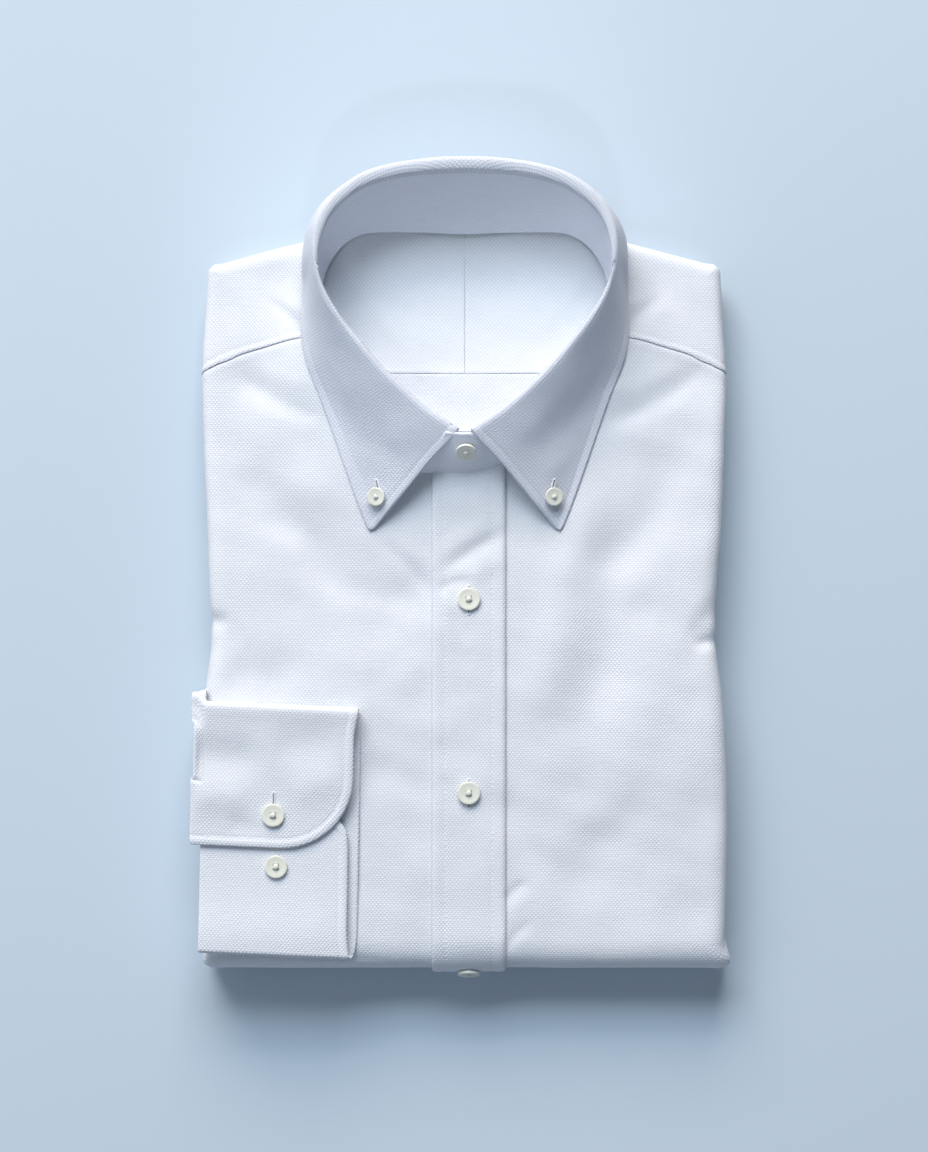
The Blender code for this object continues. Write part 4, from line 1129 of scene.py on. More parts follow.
def leaf_curve(foot, roll, edge):
    """Section of the leaf: up inside the stand, over the roll and down to its edge."""
    down = unit(foot - roll)
    start = roll + down * COLLAR_SEAM
    away = np.array((edge[0] - roll[0], edge[1] - roll[1], 0.0))
    out = unit(np.array((roll[0] - foot[0], roll[1] - foot[1], 0.0)))
    reach = np.linalg.norm(away)
    if reach > ROLL_NEAR:
        out = away / reach
    drop = roll[2] - edge[2]
    bend = min(ROLL_BEND, 2.5 + 0.12 * reach)
    inward = unit(np.array((foot[0] - roll[0], foot[1] - roll[1], 0.0)))
    front = ease((reach - 6.0) / 24.0)
    start = start + inward * 1.2
    inner = roll + inward * (3.6 - 1.6 * front) + np.array((0.0, 0.0, -0.9 - 0.5 * front))
    points = [start, (start + inner) / 2.0, inner, roll]
    first = roll + out * bend
    second = edge - away * 0.42 + np.array((0.0, 0.0, drop * 0.30))
    if reach <= ROLL_NEAR:
        second = edge + out * (bend - 0.6) + np.array((0.0, 0.0, drop * 0.5))
    for t in FALL_STEPS:
        s = 1.0 - t
        points.append(roll * s ** 3 + first * (3 * s * s * t) + second * (3 * s * t * t) + edge * t ** 3)
    return points


def leaf_grid(rows):
    far, near = LEAF_PLACES
    places_round = spread(-LAST, -far, 10) + spread(-near, near, 13) + spread(far, LAST, 10)
    return np.array([leaf_curve(*collar_section(rows, place)) for place in places_round])


def tree_of(piece):
    return BVHTree.FromObject(bpy.data.objects[piece], bpy.context.evaluated_depsgraph_get())


def look_down(tree, x, y):
    """Point and normal of a piece straight below a place of the garment."""
    return tree.ray_cast(Vector(to_frame((x, y, ABOVE))), Vector((0.0, 0.0, -1.0)))[:2]


def lie_on(pieces, points, from_edge, amount):
    """Heights of a grid whose edge rests on the pieces below it, as far as the amount says."""
    trees = [tree_of(name) for name in pieces]
    floor = np.full(from_edge.shape, -1.0)
    drop = np.zeros(from_edge.shape)
    for row, column in np.argwhere((from_edge < LEAF_FLAT + LEAF_REST + 4.0) & (amount > 0.0)):
        found = [look_down(tree, *points[row, column, :2])[0] for tree in trees]
        under = [spot.z / MM for spot in found if spot is not None]
        if under:
            floor[row, column] = max(under) + 0.5 * CLOTH + 0.08
            drop[row, column] = min(points[row, column, 2] - floor[row, column], LEAF_DROP)
    drop *= amount * ease(1.0 - (from_edge - LEAF_FLAT) / LEAF_REST)
    for _ in range(LEAF_EVENED):
        drop[1:-1] = (drop[:-2] + 2.0 * drop[1:-1] + drop[2:]) / 4.0
    return np.where(floor > 0.0, np.maximum(points[..., 2] - drop, floor), points[..., 2] - drop)


def make_leaf(material, rows):
    coarse = leaf_grid(rows)
    middle = fine_grid(coarse, (1.3, 0.45, 6.0), (1.1, 0.45, 6.0))
    round_run, down_run = run_of(middle, 0), run_of(middle, 1)
    centre = round_run[-1] / 2.0
    mean = (round_run[:, 8:] - centre[8:]).mean(axis=1, keepdims=True)
    uv = together(np.broadcast_to(mean, down_run.shape), down_run)
    from_free = down_run[:, -1:] - down_run
    from_edge = np.minimum(from_free, np.minimum(round_run, round_run[-1:] - round_run))
    sense = np.cross(np.gradient(middle, axis=0), np.gradient(middle, axis=1))
    normal = unit(sense) * (1.0 if sense[len(middle) // 8, -3, 2] > 0 else -1.0)
    height = -0.16 * bell(from_edge - LEAF_STITCH, 0.8)
    height += 0.06 * bell(from_edge - 2.0, 1.4)
    height -= 0.12 * bell(down_run - 1.5, 0.6)
    height += creases(LEAF_CREASES, middle[..., 0], middle[..., 1])
    height += 0.5 * waves(middle[..., 0] * 1.3, middle[..., 1] * 1.3) * ease(from_edge / 12.0)
    # the frame's leaf is thicker, so the shell keeps to its outer face
    middle = middle + normal * (height + (LEAF_WALL - CLOTH) / 2.0 * 0.6)[..., None]
    top = int(np.argmax(middle[len(middle) // 2, :, 2]))
    for row in (0, -1):
        end = middle[row, top].copy()
        away = np.linalg.norm(middle - end, axis=-1)
        middle[..., 0] -= math.copysign(LEAF_MEET, end[0]) * bell(away, 10.0)
        tip = middle[row, -1].copy()
        into = unit(middle[row, -14] + middle[14 if row == 0 else -15, -1] - 2.0 * tip)
        away = np.linalg.norm(middle - tip, axis=-1)
        middle = middle + into * (TIP_ROUND * bell(away, TIP_REACH))[..., None]
    below = ("shirt_front_left", "shirt_front_right", "shirt_yoke_left", "shirt_yoke_right")
    rests = ease((LEAF_HANGS - middle[..., 1]) / LEAF_FREES)
    middle[..., 2] = lie_on(below, middle, from_free, rests)
    # the threads of both fronts run alike, so the cloth's grain turns round the back
    degrees, over = LEAF_GRAIN
    grain = math.radians(degrees) * np.tanh(uv[..., 0] / over)
    threads = together(uv[..., 0] * np.cos(grain) - uv[..., 1] * np.sin(grain),
                       uv[..., 0] * np.sin(grain) + uv[..., 1] * np.cos(grain))
    made = shell("shirt_collar_leaf", middle, threads, material, rim=0.8)
    settle(made, "collar_leaf")


def make_stand(material, rows):
    coarse = stand_grid(rows)
    middle = fine_grid(coarse, (1.3, 0.5, 4.0), (1.1, 0.5, 3.0))
    round_run, up_run = run_of(middle, 0), run_of(middle, 1)
    mean = round_run.mean(axis=1, keepdims=True)
    uv = together(np.broadcast_to(mean, up_run.shape), up_run)
    made = shell("shirt_collar_stand", middle, uv, material, wall=1.3, rim=1.0)
    settle(made, "collar_stand")


def corner(y, end, radius, edge):
    """Right edge at y of a layer whose corner is round."""
    into = end + radius - y if end < INNER_END else y - (end - radius)
    into = min(radius, max(0.0, into))
    return edge - radius + math.sqrt(radius * radius - into * into)


def cuff_path():
    """Section down the cuff, from the inner layer round both folds: y, z and right edge."""
    low, high = CUFF_ENDS
    path = [(y, CUFF_INNER, corner(y, INNER_END, INNER_ROUND, CUFF_RIGHT - 1.2))
            for y in CUFF_INNER_ROWS]
    radius = (CUFF_INNER - CUFF_LOW) / 2.0
    for turn in CUFF_LOW_TURNS:
        angle = math.radians(turn)
        path.append((low - radius * math.sin(angle), CUFF_LOW + radius + radius * math.cos(angle),
                     CUFF_RIGHT + turn / 180.0 * 2.0))
    path += [(y, CUFF_LOW, CUFF_RIGHT + 3.4) for y in CUFF_LOW_ROWS]
    radius = (CUFF_UPPER - CUFF_LOW) / 2.0
    for turn in CUFF_HIGH_TURNS:
        angle = math.radians(turn)
        path.append((high + radius * math.sin(angle), CUFF_LOW + radius - radius * math.cos(angle),
                     CUFF_RIGHT + 2.4))
    path += [(y, CUFF_UPPER, corner(y, FLAP_END, FLAP_ROUND, CUFF_RIGHT + 0.6))
             for y in CUFF_UPPER_ROWS]
    return path


def cuff_skew(points):
    """Turn the upright cuff to its slope."""
    x, y, z = points[..., 0], points[..., 1], points[..., 2]
    return together(x + CUFF_LEAN * (118.0 - y), y + CUFF_SLOPE * (x + 84.0), z)


def cuff_left(y):
    """Left edge of the cuff, wider over the sleeve."""
    return CUFF_LEFT - CUFF_WIDER * ease((y - 48.0) / 8.0)


def make_cuff(material):
    path = cuff_path()
    lefts = [CUFF_LEFT if index < CUFF_PLAIN else cuff_left(row[0]) for index, row in enumerate(path)]
    coarse = np.array([[(x, y, z) for x in spread(left, right, 7)]
                       for left, (y, z, right) in zip(lefts, path)])
    middle = fine_grid(coarse, (0.8, 0.4, 5.0), (1.0, 0.4, 6.0))
    down_run = run_of(middle[..., 1:], 0)[:, :1]
    uv = together(middle[..., 0], np.broadcast_to(down_run, middle.shape[:2]))
    flat = np.concatenate([uv, np.zeros(uv.shape[:2] + (1,))], axis=-1)
    edges = line_distance(flat, border(flat)[::2])
    sewn = line_distance(flat, np.vstack([flat[0], flat[1:, -1], flat[-1, -2::-1]])[::2])
    middle = cuff_skew(middle)
    x, y = middle[..., 0], middle[..., 1]
    on_top = ease((middle[..., 2] - CUFF_LOW - 0.8) / 1.5)
    height = -0.18 * bell(sewn - CUFF_STITCH, 0.8) + 0.32 * bell(sewn - 2.0, 1.6)
    between = ease(y - STEP_LOW) * ease(STEP_HIGH - y)
    middle[..., 0] += CUFF_STEP * between * ease((CUFF_LEFT + 3.0 - x) / 4.0)
    pulled = EAR_RISE * ease((EAR_AT[0] - x) / 5.0) * ease((y - EAR_AT[1]) / 9.0)
    top_fold = np.abs(y - cuff_skew(together(x, 0 * x + CUFF_ENDS[1], x))[..., 1])
    height = height + FOLD_SWELL * bell(top_fold, FOLD_NEAR)
    height = height + creases(CUFF_NICKS, x, y) + CUFF_TILT * ease((y - TILT_FROM) / TILT_RUN)
    part = 1.0 - SWELL_LOSS * ease((x - SWELL_X) / SWELL_FADE)
    height = height + CUFF_SWELL * bell(y - SWELL_Y, SWELL_WIDE) * part
    upper = ease((middle[..., 2] - CUFF_INNER - 0.6) / 0.8)
    bend = creases(CUFF_CREASES, x, y) * ease(edges / 3.0) * upper
    for bx, by, _ in CUFF_BUTTONS:
        bend = bend * (1.0 - np.exp(-((x - bx) ** 2 + (y - by) ** 2) / CUFF_CALM ** 2))
    middle[..., 2] += (height + bend) * on_top + 0.25 * on_top
    middle[..., 1] += pulled
    middle[..., 2] -= EAR_DROP * pulled
    made = shell("shirt_cuff", middle, uv, material, edge=edges)
    settle(made, "cuff")


def sleeve_ring(inset):
    """Closed ring of (y, offset) round the flattened sleeve, moved in by inset."""
    low, high = SLEEVE_SPAN
    near = SLEEVE_ROUND
    y = np.concatenate([high - np.linspace(0.0, near, 9)[:-1], np.linspace(high - near, low + near, 150),
                        low + np.linspace(near, 0.0, 9)[1:]])
    share = np.interp(y, (32.0, SLEEVE_STEP_Y, SLEEVE_STEP_Y + 4.0), (0.56, 0.6, 1.0))
    for pleat in SLEEVE_PLEATS:
        below = pleat - y
        fall = np.exp(-np.maximum(below, 0.0) / PLEAT_RUN)
        share = share - PLEAT_STEP * ease(below / 0.8 + 0.5) * fall
    near = np.minimum(y - low, high - y) / SLEEVE_ROUND
    rounding = np.maximum(np.sqrt(1.0 - (1.0 - np.clip(near, 0.0, 1.0)) ** 2), 0.08)
    middle = SLEEVE_HALF * (share - 1.0)
    half = np.maximum(SLEEVE_HALF * share * rounding - inset, SEAM / 2.0)
    y = np.clip(y, low + inset, high - inset)
    outer = together(y, middle + half)
    inner = together(y, middle - half)
    return np.vstack([outer, inner[::-1]])


def sleeve_turn(x, z, radius, angles):
    turn_points = []
    for angle in angles:
        turn = math.radians(angle)
        turn_points.append((x - radius * math.cos(turn), z + radius * math.sin(turn), angle))
    return turn_points


def sleeve_path():
    """Middle of the sleeve from the cuff out and down the side: x, z, degrees it faces up."""
    return np.array([*SLEEVE_START, *sleeve_turn(*SLEEVE_UPPER), SLEEVE_UPRIGHT,
                     *sleeve_turn(*SLEEVE_LOWER)])


def make_sleeve(material):
    """Flattened sleeve tube that turns down over the side edge."""
    path = sleeve_path()
    steps = np.linspace(0.0, len(path) - 1.0, 46)
    fine_path = spline(np.column_stack([np.arange(len(path)), path]), steps)
    sheets = []
    for inset in (0.0, SLEEVE_SHELL):
        fine_ring = sleeve_ring(inset)
        rows = []
        for step, (x, z, angle) in zip(steps, fine_path):
            turn = math.radians(angle)
            lean = CUFF_LEAN * (1.0 - ease((step - 2.0) / 3.0))
            y, offset = fine_ring[:, 0], fine_ring[:, 1]
            along = x + lean * (CUFF_ENDS[1] - y)
            upper = 1.0 - ease((step - 2.5) / 4.0)
            ear = ease((y - EAR_FROM) / EAR_RUN) * upper
            y = y + SLEEVE_EAR * ease((y - 110.0) / 12.0) * (1.0 - 0.55 * ease(step / 6.0))
            rows.append(together(along - EAR_OUT * ear - offset * math.cos(turn), y,
                                 z + EAR_UP * ear + offset * math.sin(turn)))
        sheets.append(np.array(rows))
    rings, count = sheets[0].shape[:2]
    inside = rings * count
    points = np.vstack([sheet.reshape(-1, 3) for sheet in sheets])
    faces = [grid_faces(rings, count, 0, True), grid_faces(rings, count, inside, True)]
    place = np.arange(count)
    after = (place + 1) % count
    for first in (0, (rings - 1) * count):
        outer, next_one = first + place, first + after
        faces.append(together(outer, next_one, inside + next_one, inside + outer))
    down = run_of(sheets[0], 0).mean(axis=1, keepdims=True)
    uv = together(np.broadcast_to(down, (rings, count)), sheets[0][..., 1])
    both = np.vstack([uv.reshape(-1, 2)] * 2)
    made = new_piece("shirt_sleeve", points, np.vstack(faces), both, material)
    join_frame(made, "sleeve")


def layer_lines(across, along):
    """Grooves between the stacked layers on the rounded edges."""
    turned = np.maximum(np.maximum(np.abs(across) - 1.0, along - 1.0), 0.0)
    height = np.zeros(np.shape(across))
    for at, deep in LAYER_GROOVES:
        sway = 0.04 * np.sin(9.0 * along + 5.0 * at + across)
        height = height - deep * bell(turned - at - sway, 0.075)
        fuller = 0.3 * np.sin(4.0 * along + 11.0 * at)
        height = height + fuller * bell(turned - at - 0.18, 0.16)
    return height


def layer_sheet(inset):
    """Closed surface of both packets, moved in by inset."""
    side = turns(180.0, LAYER_STEP)
    right = [1.0 + turn for turn in side]
    across = [-turn for turn in reversed(right)] + spread(-1.0, 1.0, 41) + right
    straight = np.array(spread(0.0, 1.0, 70))[1:]
    folds = np.array([0.0] + side)
    up = np.concatenate([straight, right])

    def rows_of(along, lift, sunk=0.0, **kind):
        grid_across, grid_along = np.meshgrid(across, along)
        lift = np.broadcast_to(np.reshape(lift, (-1, 1)), grid_across.shape)
        from_edge = 1.0 - np.maximum(np.abs(grid_across), grid_along)
        lift = lift - sunk * ease(from_edge / 0.08) * ease(grid_along / 0.08)
        lift = lift + layer_lines(grid_across, grid_along)
        lift = lift + square_edges(grid_across, grid_along) - inset
        return square_corner(form(grid_across, grid_along, lift, **kind))
    grid = np.vstack([rows_of(up[::-1], -STACK_DROP, LAYER_SUNK, hidden=True),
                      rows_of(-folds, -STACK_DROP * (1.0 - folds / 2.0)),
                      rows_of(up, 0.0, lower=True)])
    for column, inward in ((0, inset), (-1, -inset)):
        y = np.maximum(grid[:, column, 1], START)
        grid[:, column, 0] += inward
        grid[:, column, 1] = y
        grid[:, column, 2] = stack_height(y) / 2.0
    for row in (0, -1):
        grid[row, :, 1] -= inset
        grid[row, :, 2] = stack_height(grid[row, :, 1]) / 2.0
    return grid


def signed_volume(points, faces):
    """Volume inside a closed mesh, negative when its faces turn inward."""
    one, two, three, four = (points[faces[:, k]] for k in range(4))
    return float((np.cross(one, two) * three).sum() + (np.cross(one, three) * four).sum()) / 6.0


def make_layers(material):
    """Hidden layers: one thin shell on the form of both packets, layered at the edges."""
    points, faces, uvs = [], [], []
    for inset, outside in ((0.0, True), (LAYER_SHELL, False)):
        grid = layer_sheet(inset)
        rows, columns = grid.shape[:2]
        quads = grid_faces(rows, columns)
        flat = grid.reshape(-1, 3)
        if (signed_volume(flat, quads) > 0) != outside:
            quads = quads[:, ::-1]
        faces.append(quads + sum(len(part) for part in points))
        points.append(flat)
        round_run, down_run = run_of(grid, 1), run_of(grid, 0)
        uv = together(np.broadcast_to(round_run[rows // 4], (rows, columns)),
                      np.broadcast_to(down_run[:, columns // 2, None], (rows, columns)))
        uvs.append(uv.reshape(-1, 2))
    made = new_piece("shirt_layers", np.vstack(points), np.vstack(faces), np.vstack(uvs), material,
                     turn=False)
    work = bmesh.new()
    work.from_mesh(made.data)
    bmesh.ops.remove_doubles(work, verts=work.verts, dist=0.002 * MM)
    bmesh.ops.dissolve_degenerate(work, dist=0.001 * MM, edges=work.edges)
    work.to_mesh(made.data)
    work.free()
    join_frame(made, "folded_layers")


# ---- stitches, buttons and buttonholes ----
STITCH = 1.7  # length of a stitch that shows
STITCH_STEP = 2.3  # from one stitch to the next
STITCH_RADIUS = 0.2
YOKE_STITCH = 2.3  # the yoke's row lies this far from its seam
FRONT_STITCH_END = 9.0  # the leaf's front rows stop this far before the neck
STITCH_SIDES = 5
# outline of a stitch: share of its length, share of its radius, height above the cloth
STITCH_PROFILE = ((0.0, 0.35, -0.16), (0.15, 0.9, -0.02), (0.85, 0.9, -0.02), (1.0, 0.35, -0.16))
BUTTON_FACE = 1.3  # thickness of a button's disc
# steps of the button's face from its edge in: inset as a share of the radius, rise in millimetres
BUTTON_STEPS = ((0.06, 0.06), (0.17, 0.0), (0.06, -0.08), (0.2, -0.04), (0.08, -0.02))
BUTTON_ROUND = 0.22  # width of its round edges
BEVEL_FROM, SMOOTH_TO = 20.0, 35.0  # degrees: edges past the first are rounded
HOLE_RADIUS = 0.55
HOLE_APART = 1.35  # from the middle of the button to the middle of a hole
THREAD_ARCH = (1.35, 0.34)  # radius of a thread's arch over the holes, and of the thread
THREAD_SEAT = 0.95  # height of the arches' middle over the button's back
ARCH_FLAT = 0.78  # share of its height that an arch keeps
KNOT, KNOT_RISE, KNOT_FLAT = 1.25, 0.6, 0.62  # the knot's radius, its height over them, its share
FOLD_BUTTON = -0.8  # quarter turns down the fold to the lowest button
LIP = (0.34, 0.3)  # half width and height of a buttonhole's lip, and of the dark strip of painted shade in its slit
SLIT = (0.24, 0.1)
LIP_RIB = 0.14  # share by which its stitches stand out
LIP_SIDES = 6
LIP_RISE = 0.05
SLIT_POINT = 0.3  # share of its width left at a slit's ends
HOLE_HALF = 0.6  # from the middle of the slit to the middle of a lip
# buttonholes: name, piece, middle x and y, degrees from upright, length
BUTTONHOLES = (
    ("cuff", "shirt_cuff", -85.6, 73.6, 0.0, 11.5),
    ("collar_left", "shirt_collar_leaf", -38.9, 215.0, -14.0, 9.0),
    ("collar_right", "shirt_collar_leaf", 39.2, 215.0, 14.0, 9.0),
    ("placket_1", "shirt_placket", 1.7, 165.2, 0.0, 13.4),
    ("placket_2", "shirt_placket", 1.7, 78.2, 0.0, 13.4),
)


def circle(sides):
    turns_round = [2 * math.pi * side / sides for side in range(sides)]
    return [(math.cos(turn), math.sin(turn)) for turn in turns_round]


def stitch_places(line):
    """Start and end of each stitch along a line of points."""
    run = line_run(line)
    starts = np.arange(STITCH_STEP / 2.0, run[-1] - STITCH, STITCH_STEP)

    def at(length):
        return together(*(np.interp(length, run, line[:, axis]) for axis in range(3)))
    return at(starts), at(starts + STITCH)


def make_stitches(name, lines, piece, material):
    """Rows of stitches that lie on a piece, as one mesh."""
    tree = tree_of(piece)
    points, faces = [], []
    count, levels = STITCH_SIDES, len(STITCH_PROFILE)
    ring = circle(count)
    for line in lines:
        for start, end in zip(*stitch_places(np.asarray(line))):
            near, normal = tree.find_nearest(Vector(to_frame(start)))[:2]
            far = tree.find_nearest(Vector(to_frame(end)))[0]
            run = (far - near) / MM
            side = run.cross(normal).normalized()
            first = len(points)
            for share, size, above in STITCH_PROFILE:
                centre = near / MM + run * share + normal * above
                points += [centre + (side * x + normal * y) * STITCH_RADIUS * size for x, y in ring]
            faces += [tuple(face) for face in grid_faces(levels, count, first, True)]
            faces.append(tuple(first + index for index in reversed(range(count))))
            faces.append(tuple(first + (levels - 1) * count + index for index in range(count)))
    made = new_piece(name, from_frame(points), faces, None, material)
    join_frame(made)


def inset_line(points, axis, end, inset):
    """Points at a distance from one edge of a grid, one for each line that runs to that edge."""
    lines = points if axis == 1 else points.transpose(1, 0, 2)
    if end < 0:
        lines = lines[:, ::-1]
    found = []
    for line in lines:
        run = line_run(line)
        found.append([np.interp(inset, run, line[:, part]) for part in range(3)])
    return np.array(found)


def make_all_stitches(material):
    top = SURFACES["shirt_placket"]
    lines = []
    for x in (PLACKET_EDGES[0] + STITCH_INSET, PLACKET_EDGES[1] - STITCH_INSET):
        column = int(np.abs(top[len(top) // 2, :, 0] - x).argmin())
        lines.append(top[:-4, column])
    make_stitches("stitches_placket", lines, "shirt_placket", material)
    top = SURFACES["shirt_collar_leaf"]
    outer = inset_line(top, 1, -1, LEAF_STITCH)
    from_left = line_run(outer)
    keep = (from_left > LEAF_STITCH) & (from_left < from_left[-1] - LEAF_STITCH)
    lines = [outer[keep]]
    for end in (0, -1):
        front = inset_line(top, 0, end, LEAF_STITCH)[::-1]
        run = line_run(front)
        lines.append(front[(run > LEAF_STITCH) & (run < run[-1] - FRONT_STITCH_END)])
    make_stitches("stitches_collar", lines, "shirt_collar_leaf", material)
    for hand, side in SIDES:
        make_stitches("stitches_yoke_" + side, [seam_line(hand, YOKE_STITCH)],
                      "shirt_yoke_" + side, material)
    reach = CUFF_RIGHT + 0.6 - CUFF_STITCH
    radius = FLAP_ROUND - CUFF_STITCH
    turn = np.radians(np.linspace(-90.0, 0.0, 24))
    arc_x, arc_y = reach - radius + radius * np.cos(turn), FLAP_END + FLAP_ROUND + radius * np.sin(turn)
    arc = together(arc_x, arc_y)
    flap = np.vstack([[(CUFF_LEFT + 1.0, FLAP_END + CUFF_STITCH)], arc, [(reach + 1.0, 113.0)]])
    lower = np.array([(reach - 1.6, 60.0), (reach - 1.4, 40.0), (reach - 0.6, 10.0)])
    lines = [cuff_skew(np.column_stack([line, np.full(len(line), height + 0.7)]))
             for line, height in ((flap, CUFF_UPPER), (lower, CUFF_INNER))]
    make_stitches("stitches_cuff", lines, "shirt_cuff", material)


def set_only(*pieces):
    """Select these pieces and nothing else, and make the last one active."""
    bpy.ops.object.select_all(action="DESELECT")
    for piece in pieces:
        piece.select_set(True)
        bpy.context.view_layer.objects.active = piece


def apply_place(location=False, rotation=False, scale=False):
    bpy.ops.object.transform_apply(location=location, rotation=rotation, scale=scale)


def finish_pattern(made, name, material):
    made.name = name
    made.data.materials.clear()
    made.data.materials.append(material)
    return made


def model_button(material):
    """One button at the origin, of the larger size, facing up: rim, dish and four holes."""
    radius, height = BUTTON / 2.0 * MM, BUTTON_FACE * MM
    set_only()
    bpy.ops.mesh.primitive_cylinder_add(vertices=48, radius=radius, depth=height,
                                        location=(0.0, 0.0, height / 2.0))
    made = bpy.context.object
    apply_place(location=True)
    bpy.ops.object.mode_set(mode="EDIT")
    bpy.ops.mesh.select_all(action="DESELECT")
    bpy.ops.mesh.select_mode(type="FACE")
    work = bmesh.from_edit_mesh(made.data)
    for face in work.faces:
        face.select = face.normal.z > 0.9
    bmesh.update_edit_mesh(made.data)
    for inset, rise in BUTTON_STEPS:
        bpy.ops.mesh.inset(thickness=inset * radius, depth=rise * MM)
    bpy.ops.object.mode_set(mode="OBJECT")
    bevel = made.modifiers.new("round_edges", "BEVEL")
    bevel.width, bevel.segments, bevel.limit_method = BUTTON_ROUND * MM, 3, "ANGLE"
    bevel.angle_limit = math.radians(BEVEL_FROM)
    bpy.ops.object.modifier_apply(modifier=bevel.name)
    holes = []
    for turn in (45.0, 135.0, 225.0, 315.0):
        angle = math.radians(turn)
        x, y = HOLE_APART * MM * math.cos(angle), HOLE_APART * MM * math.sin(angle)
        set_only()
        bpy.ops.mesh.primitive_cylinder_add(vertices=14, radius=HOLE_RADIUS * MM, depth=3.0 * height,
                                            location=(x, y, height / 2.0))
        holes.append(bpy.context.object)
    set_only(*holes)
    bpy.ops.object.join()
    drill = bpy.context.object
    set_only(made)
    cut = made.modifiers.new("holes", "BOOLEAN")
    cut.operation, cut.object, cut.solver = "DIFFERENCE", drill, "EXACT"
    bpy.ops.object.modifier_apply(modifier=cut.name)
    bpy.data.objects.remove(drill, do_unlink=True)
    bpy.ops.object.shade_smooth_by_angle(angle=math.radians(SMOOTH_TO))
    return finish_pattern(made, "button_pattern", material)


def model_button_thread(material):
    """Two crossing arches of thread through the holes, gathered to a knot in the middle."""
    parts = []
    for turn in (45.0, 135.0):
        set_only()
        bpy.ops.mesh.primitive_torus_add(
            major_segments=28, minor_segments=10, major_radius=THREAD_ARCH[0] * MM,
            minor_radius=THREAD_ARCH[1] * MM, location=(0.0, 0.0, THREAD_SEAT * MM),
            rotation=(math.radians(90.0), 0.0, math.radians(turn)))
        apply_place(rotation=True)
        parts.append(bpy.context.object)
        parts[-1].scale = (1.0, 1.0, ARCH_FLAT)
        apply_place(location=True, scale=True)
    set_only()
    bpy.ops.mesh.primitive_uv_sphere_add(segments=16, ring_count=10, radius=KNOT * MM,
                                         location=(0.0, 0.0, (THREAD_SEAT + KNOT_RISE) * MM))
    parts.append(bpy.context.object)
    parts[-1].scale = (1.0, 1.0, KNOT_FLAT)
    apply_place(location=True, scale=True)
    set_only(*parts)
    bpy.ops.object.join()
    bpy.ops.object.shade_smooth()
    return finish_pattern(bpy.context.object, "thread_pattern", material)


def set_copy(pattern, name, matrix):
    """Copy of a pattern with its place in its own mesh."""
    made = new_object(name, pattern.data.copy())
    made.data.name = name
    made.data.transform(matrix)
    return made


def leaf_place(rows, hand, row, part):
    """Point and normal of the leaf's outer face at a place on its fall."""
    def middle(row, part):
        curve = leaf_curve(*collar_section(rows, hand * row))[3:]
        where = part * (len(curve) - 1)
        index = min(len(curve) - 2, int(where))
        return curve[index] + (curve[index + 1] - curve[index]) * (where - index)
    point = middle(row, part)
    normal = unit(np.cross(middle(row + 0.3, part) - point, middle(row, part + 0.05) - point))
    if normal[2] < 0:
        normal = -normal
    return point + normal * LEAF_WALL / 2.0, normal


def button_places(rows):
    """Every button: name, seat on the cloth, the way it faces, distance across."""
    found, up = [], np.array((0.0, 0.0, 1.0))
    x, outer = SPLIT_X, PLACKET_LIFT + WALL
    for count, y in enumerate(PLACKET_BUTTONS, 1):
        seat = form(*place_on(x, y), outer)
        ahead = form(*place_on(x, y + BUTTON / 2.0), outer) - seat
        aside = form(*place_on(x + BUTTON / 2.0, y), outer) - seat
        found.append(("placket_%d" % count, seat, unit(np.cross(aside, ahead)), BUTTON))
    wide = flat_half(START, x)
    full = outer + FOLD_SQUARE * fill_out(-FOLD_BUTTON)
    seat = form(x / wide, FOLD_BUTTON, full)
    normal = unit(form(x / wide, FOLD_BUTTON, full + 1.0) - seat)
    found.append(("placket_3", seat, normal, BUTTON))
    for count, (x, y, z) in enumerate(CUFF_BUTTONS, 1):
        found.append(("cuff_%d" % count, np.array((x, y, z + WALL / 2.0)), up, BUTTON))
    for hand, side in SIDES:
        seat, normal = leaf_place(rows, hand, *COLLAR_BUTTON_PLACE)
        found.append(("collar_" + side, seat, normal, COLLAR_BUTTON))
    foot, roll = collar_section(rows, LAST)[:2]
    rise = np.array((0.0, roll[1] - foot[1], roll[2] - foot[2]))
    normal = unit(np.array((0.0, -rise[2], rise[1])))
    x, share = NECK_BUTTON_PLACE
    out = STAND_OUT + STAND_BOW + STAND_WALL / 2.0
    seat = np.array((x, foot[1], foot[2])) + rise * share + normal * out
    found.append(("neck", seat, normal, NECK_BUTTON))
    return found


def make_buttons(rows, cream, thread):
    button, knot = model_button(cream), model_button_thread(thread)
    for name, seat, normal, across in button_places(rows):
        turn = Vector(normal).to_track_quat("Z", "Y").to_matrix().to_4x4()
        place = Matrix.Translation(Vector(to_frame(seat + normal * GAP)))
        matrix = place @ turn @ Matrix.Scale(across / BUTTON, 4)
        join_frame(set_copy(button, "shirt_button_" + name, matrix), "button_" + name)
        join_frame(set_copy(knot, "button_thread_" + name, matrix))
    for pattern in (button, knot):
        bpy.data.objects.remove(pattern, do_unlink=True)


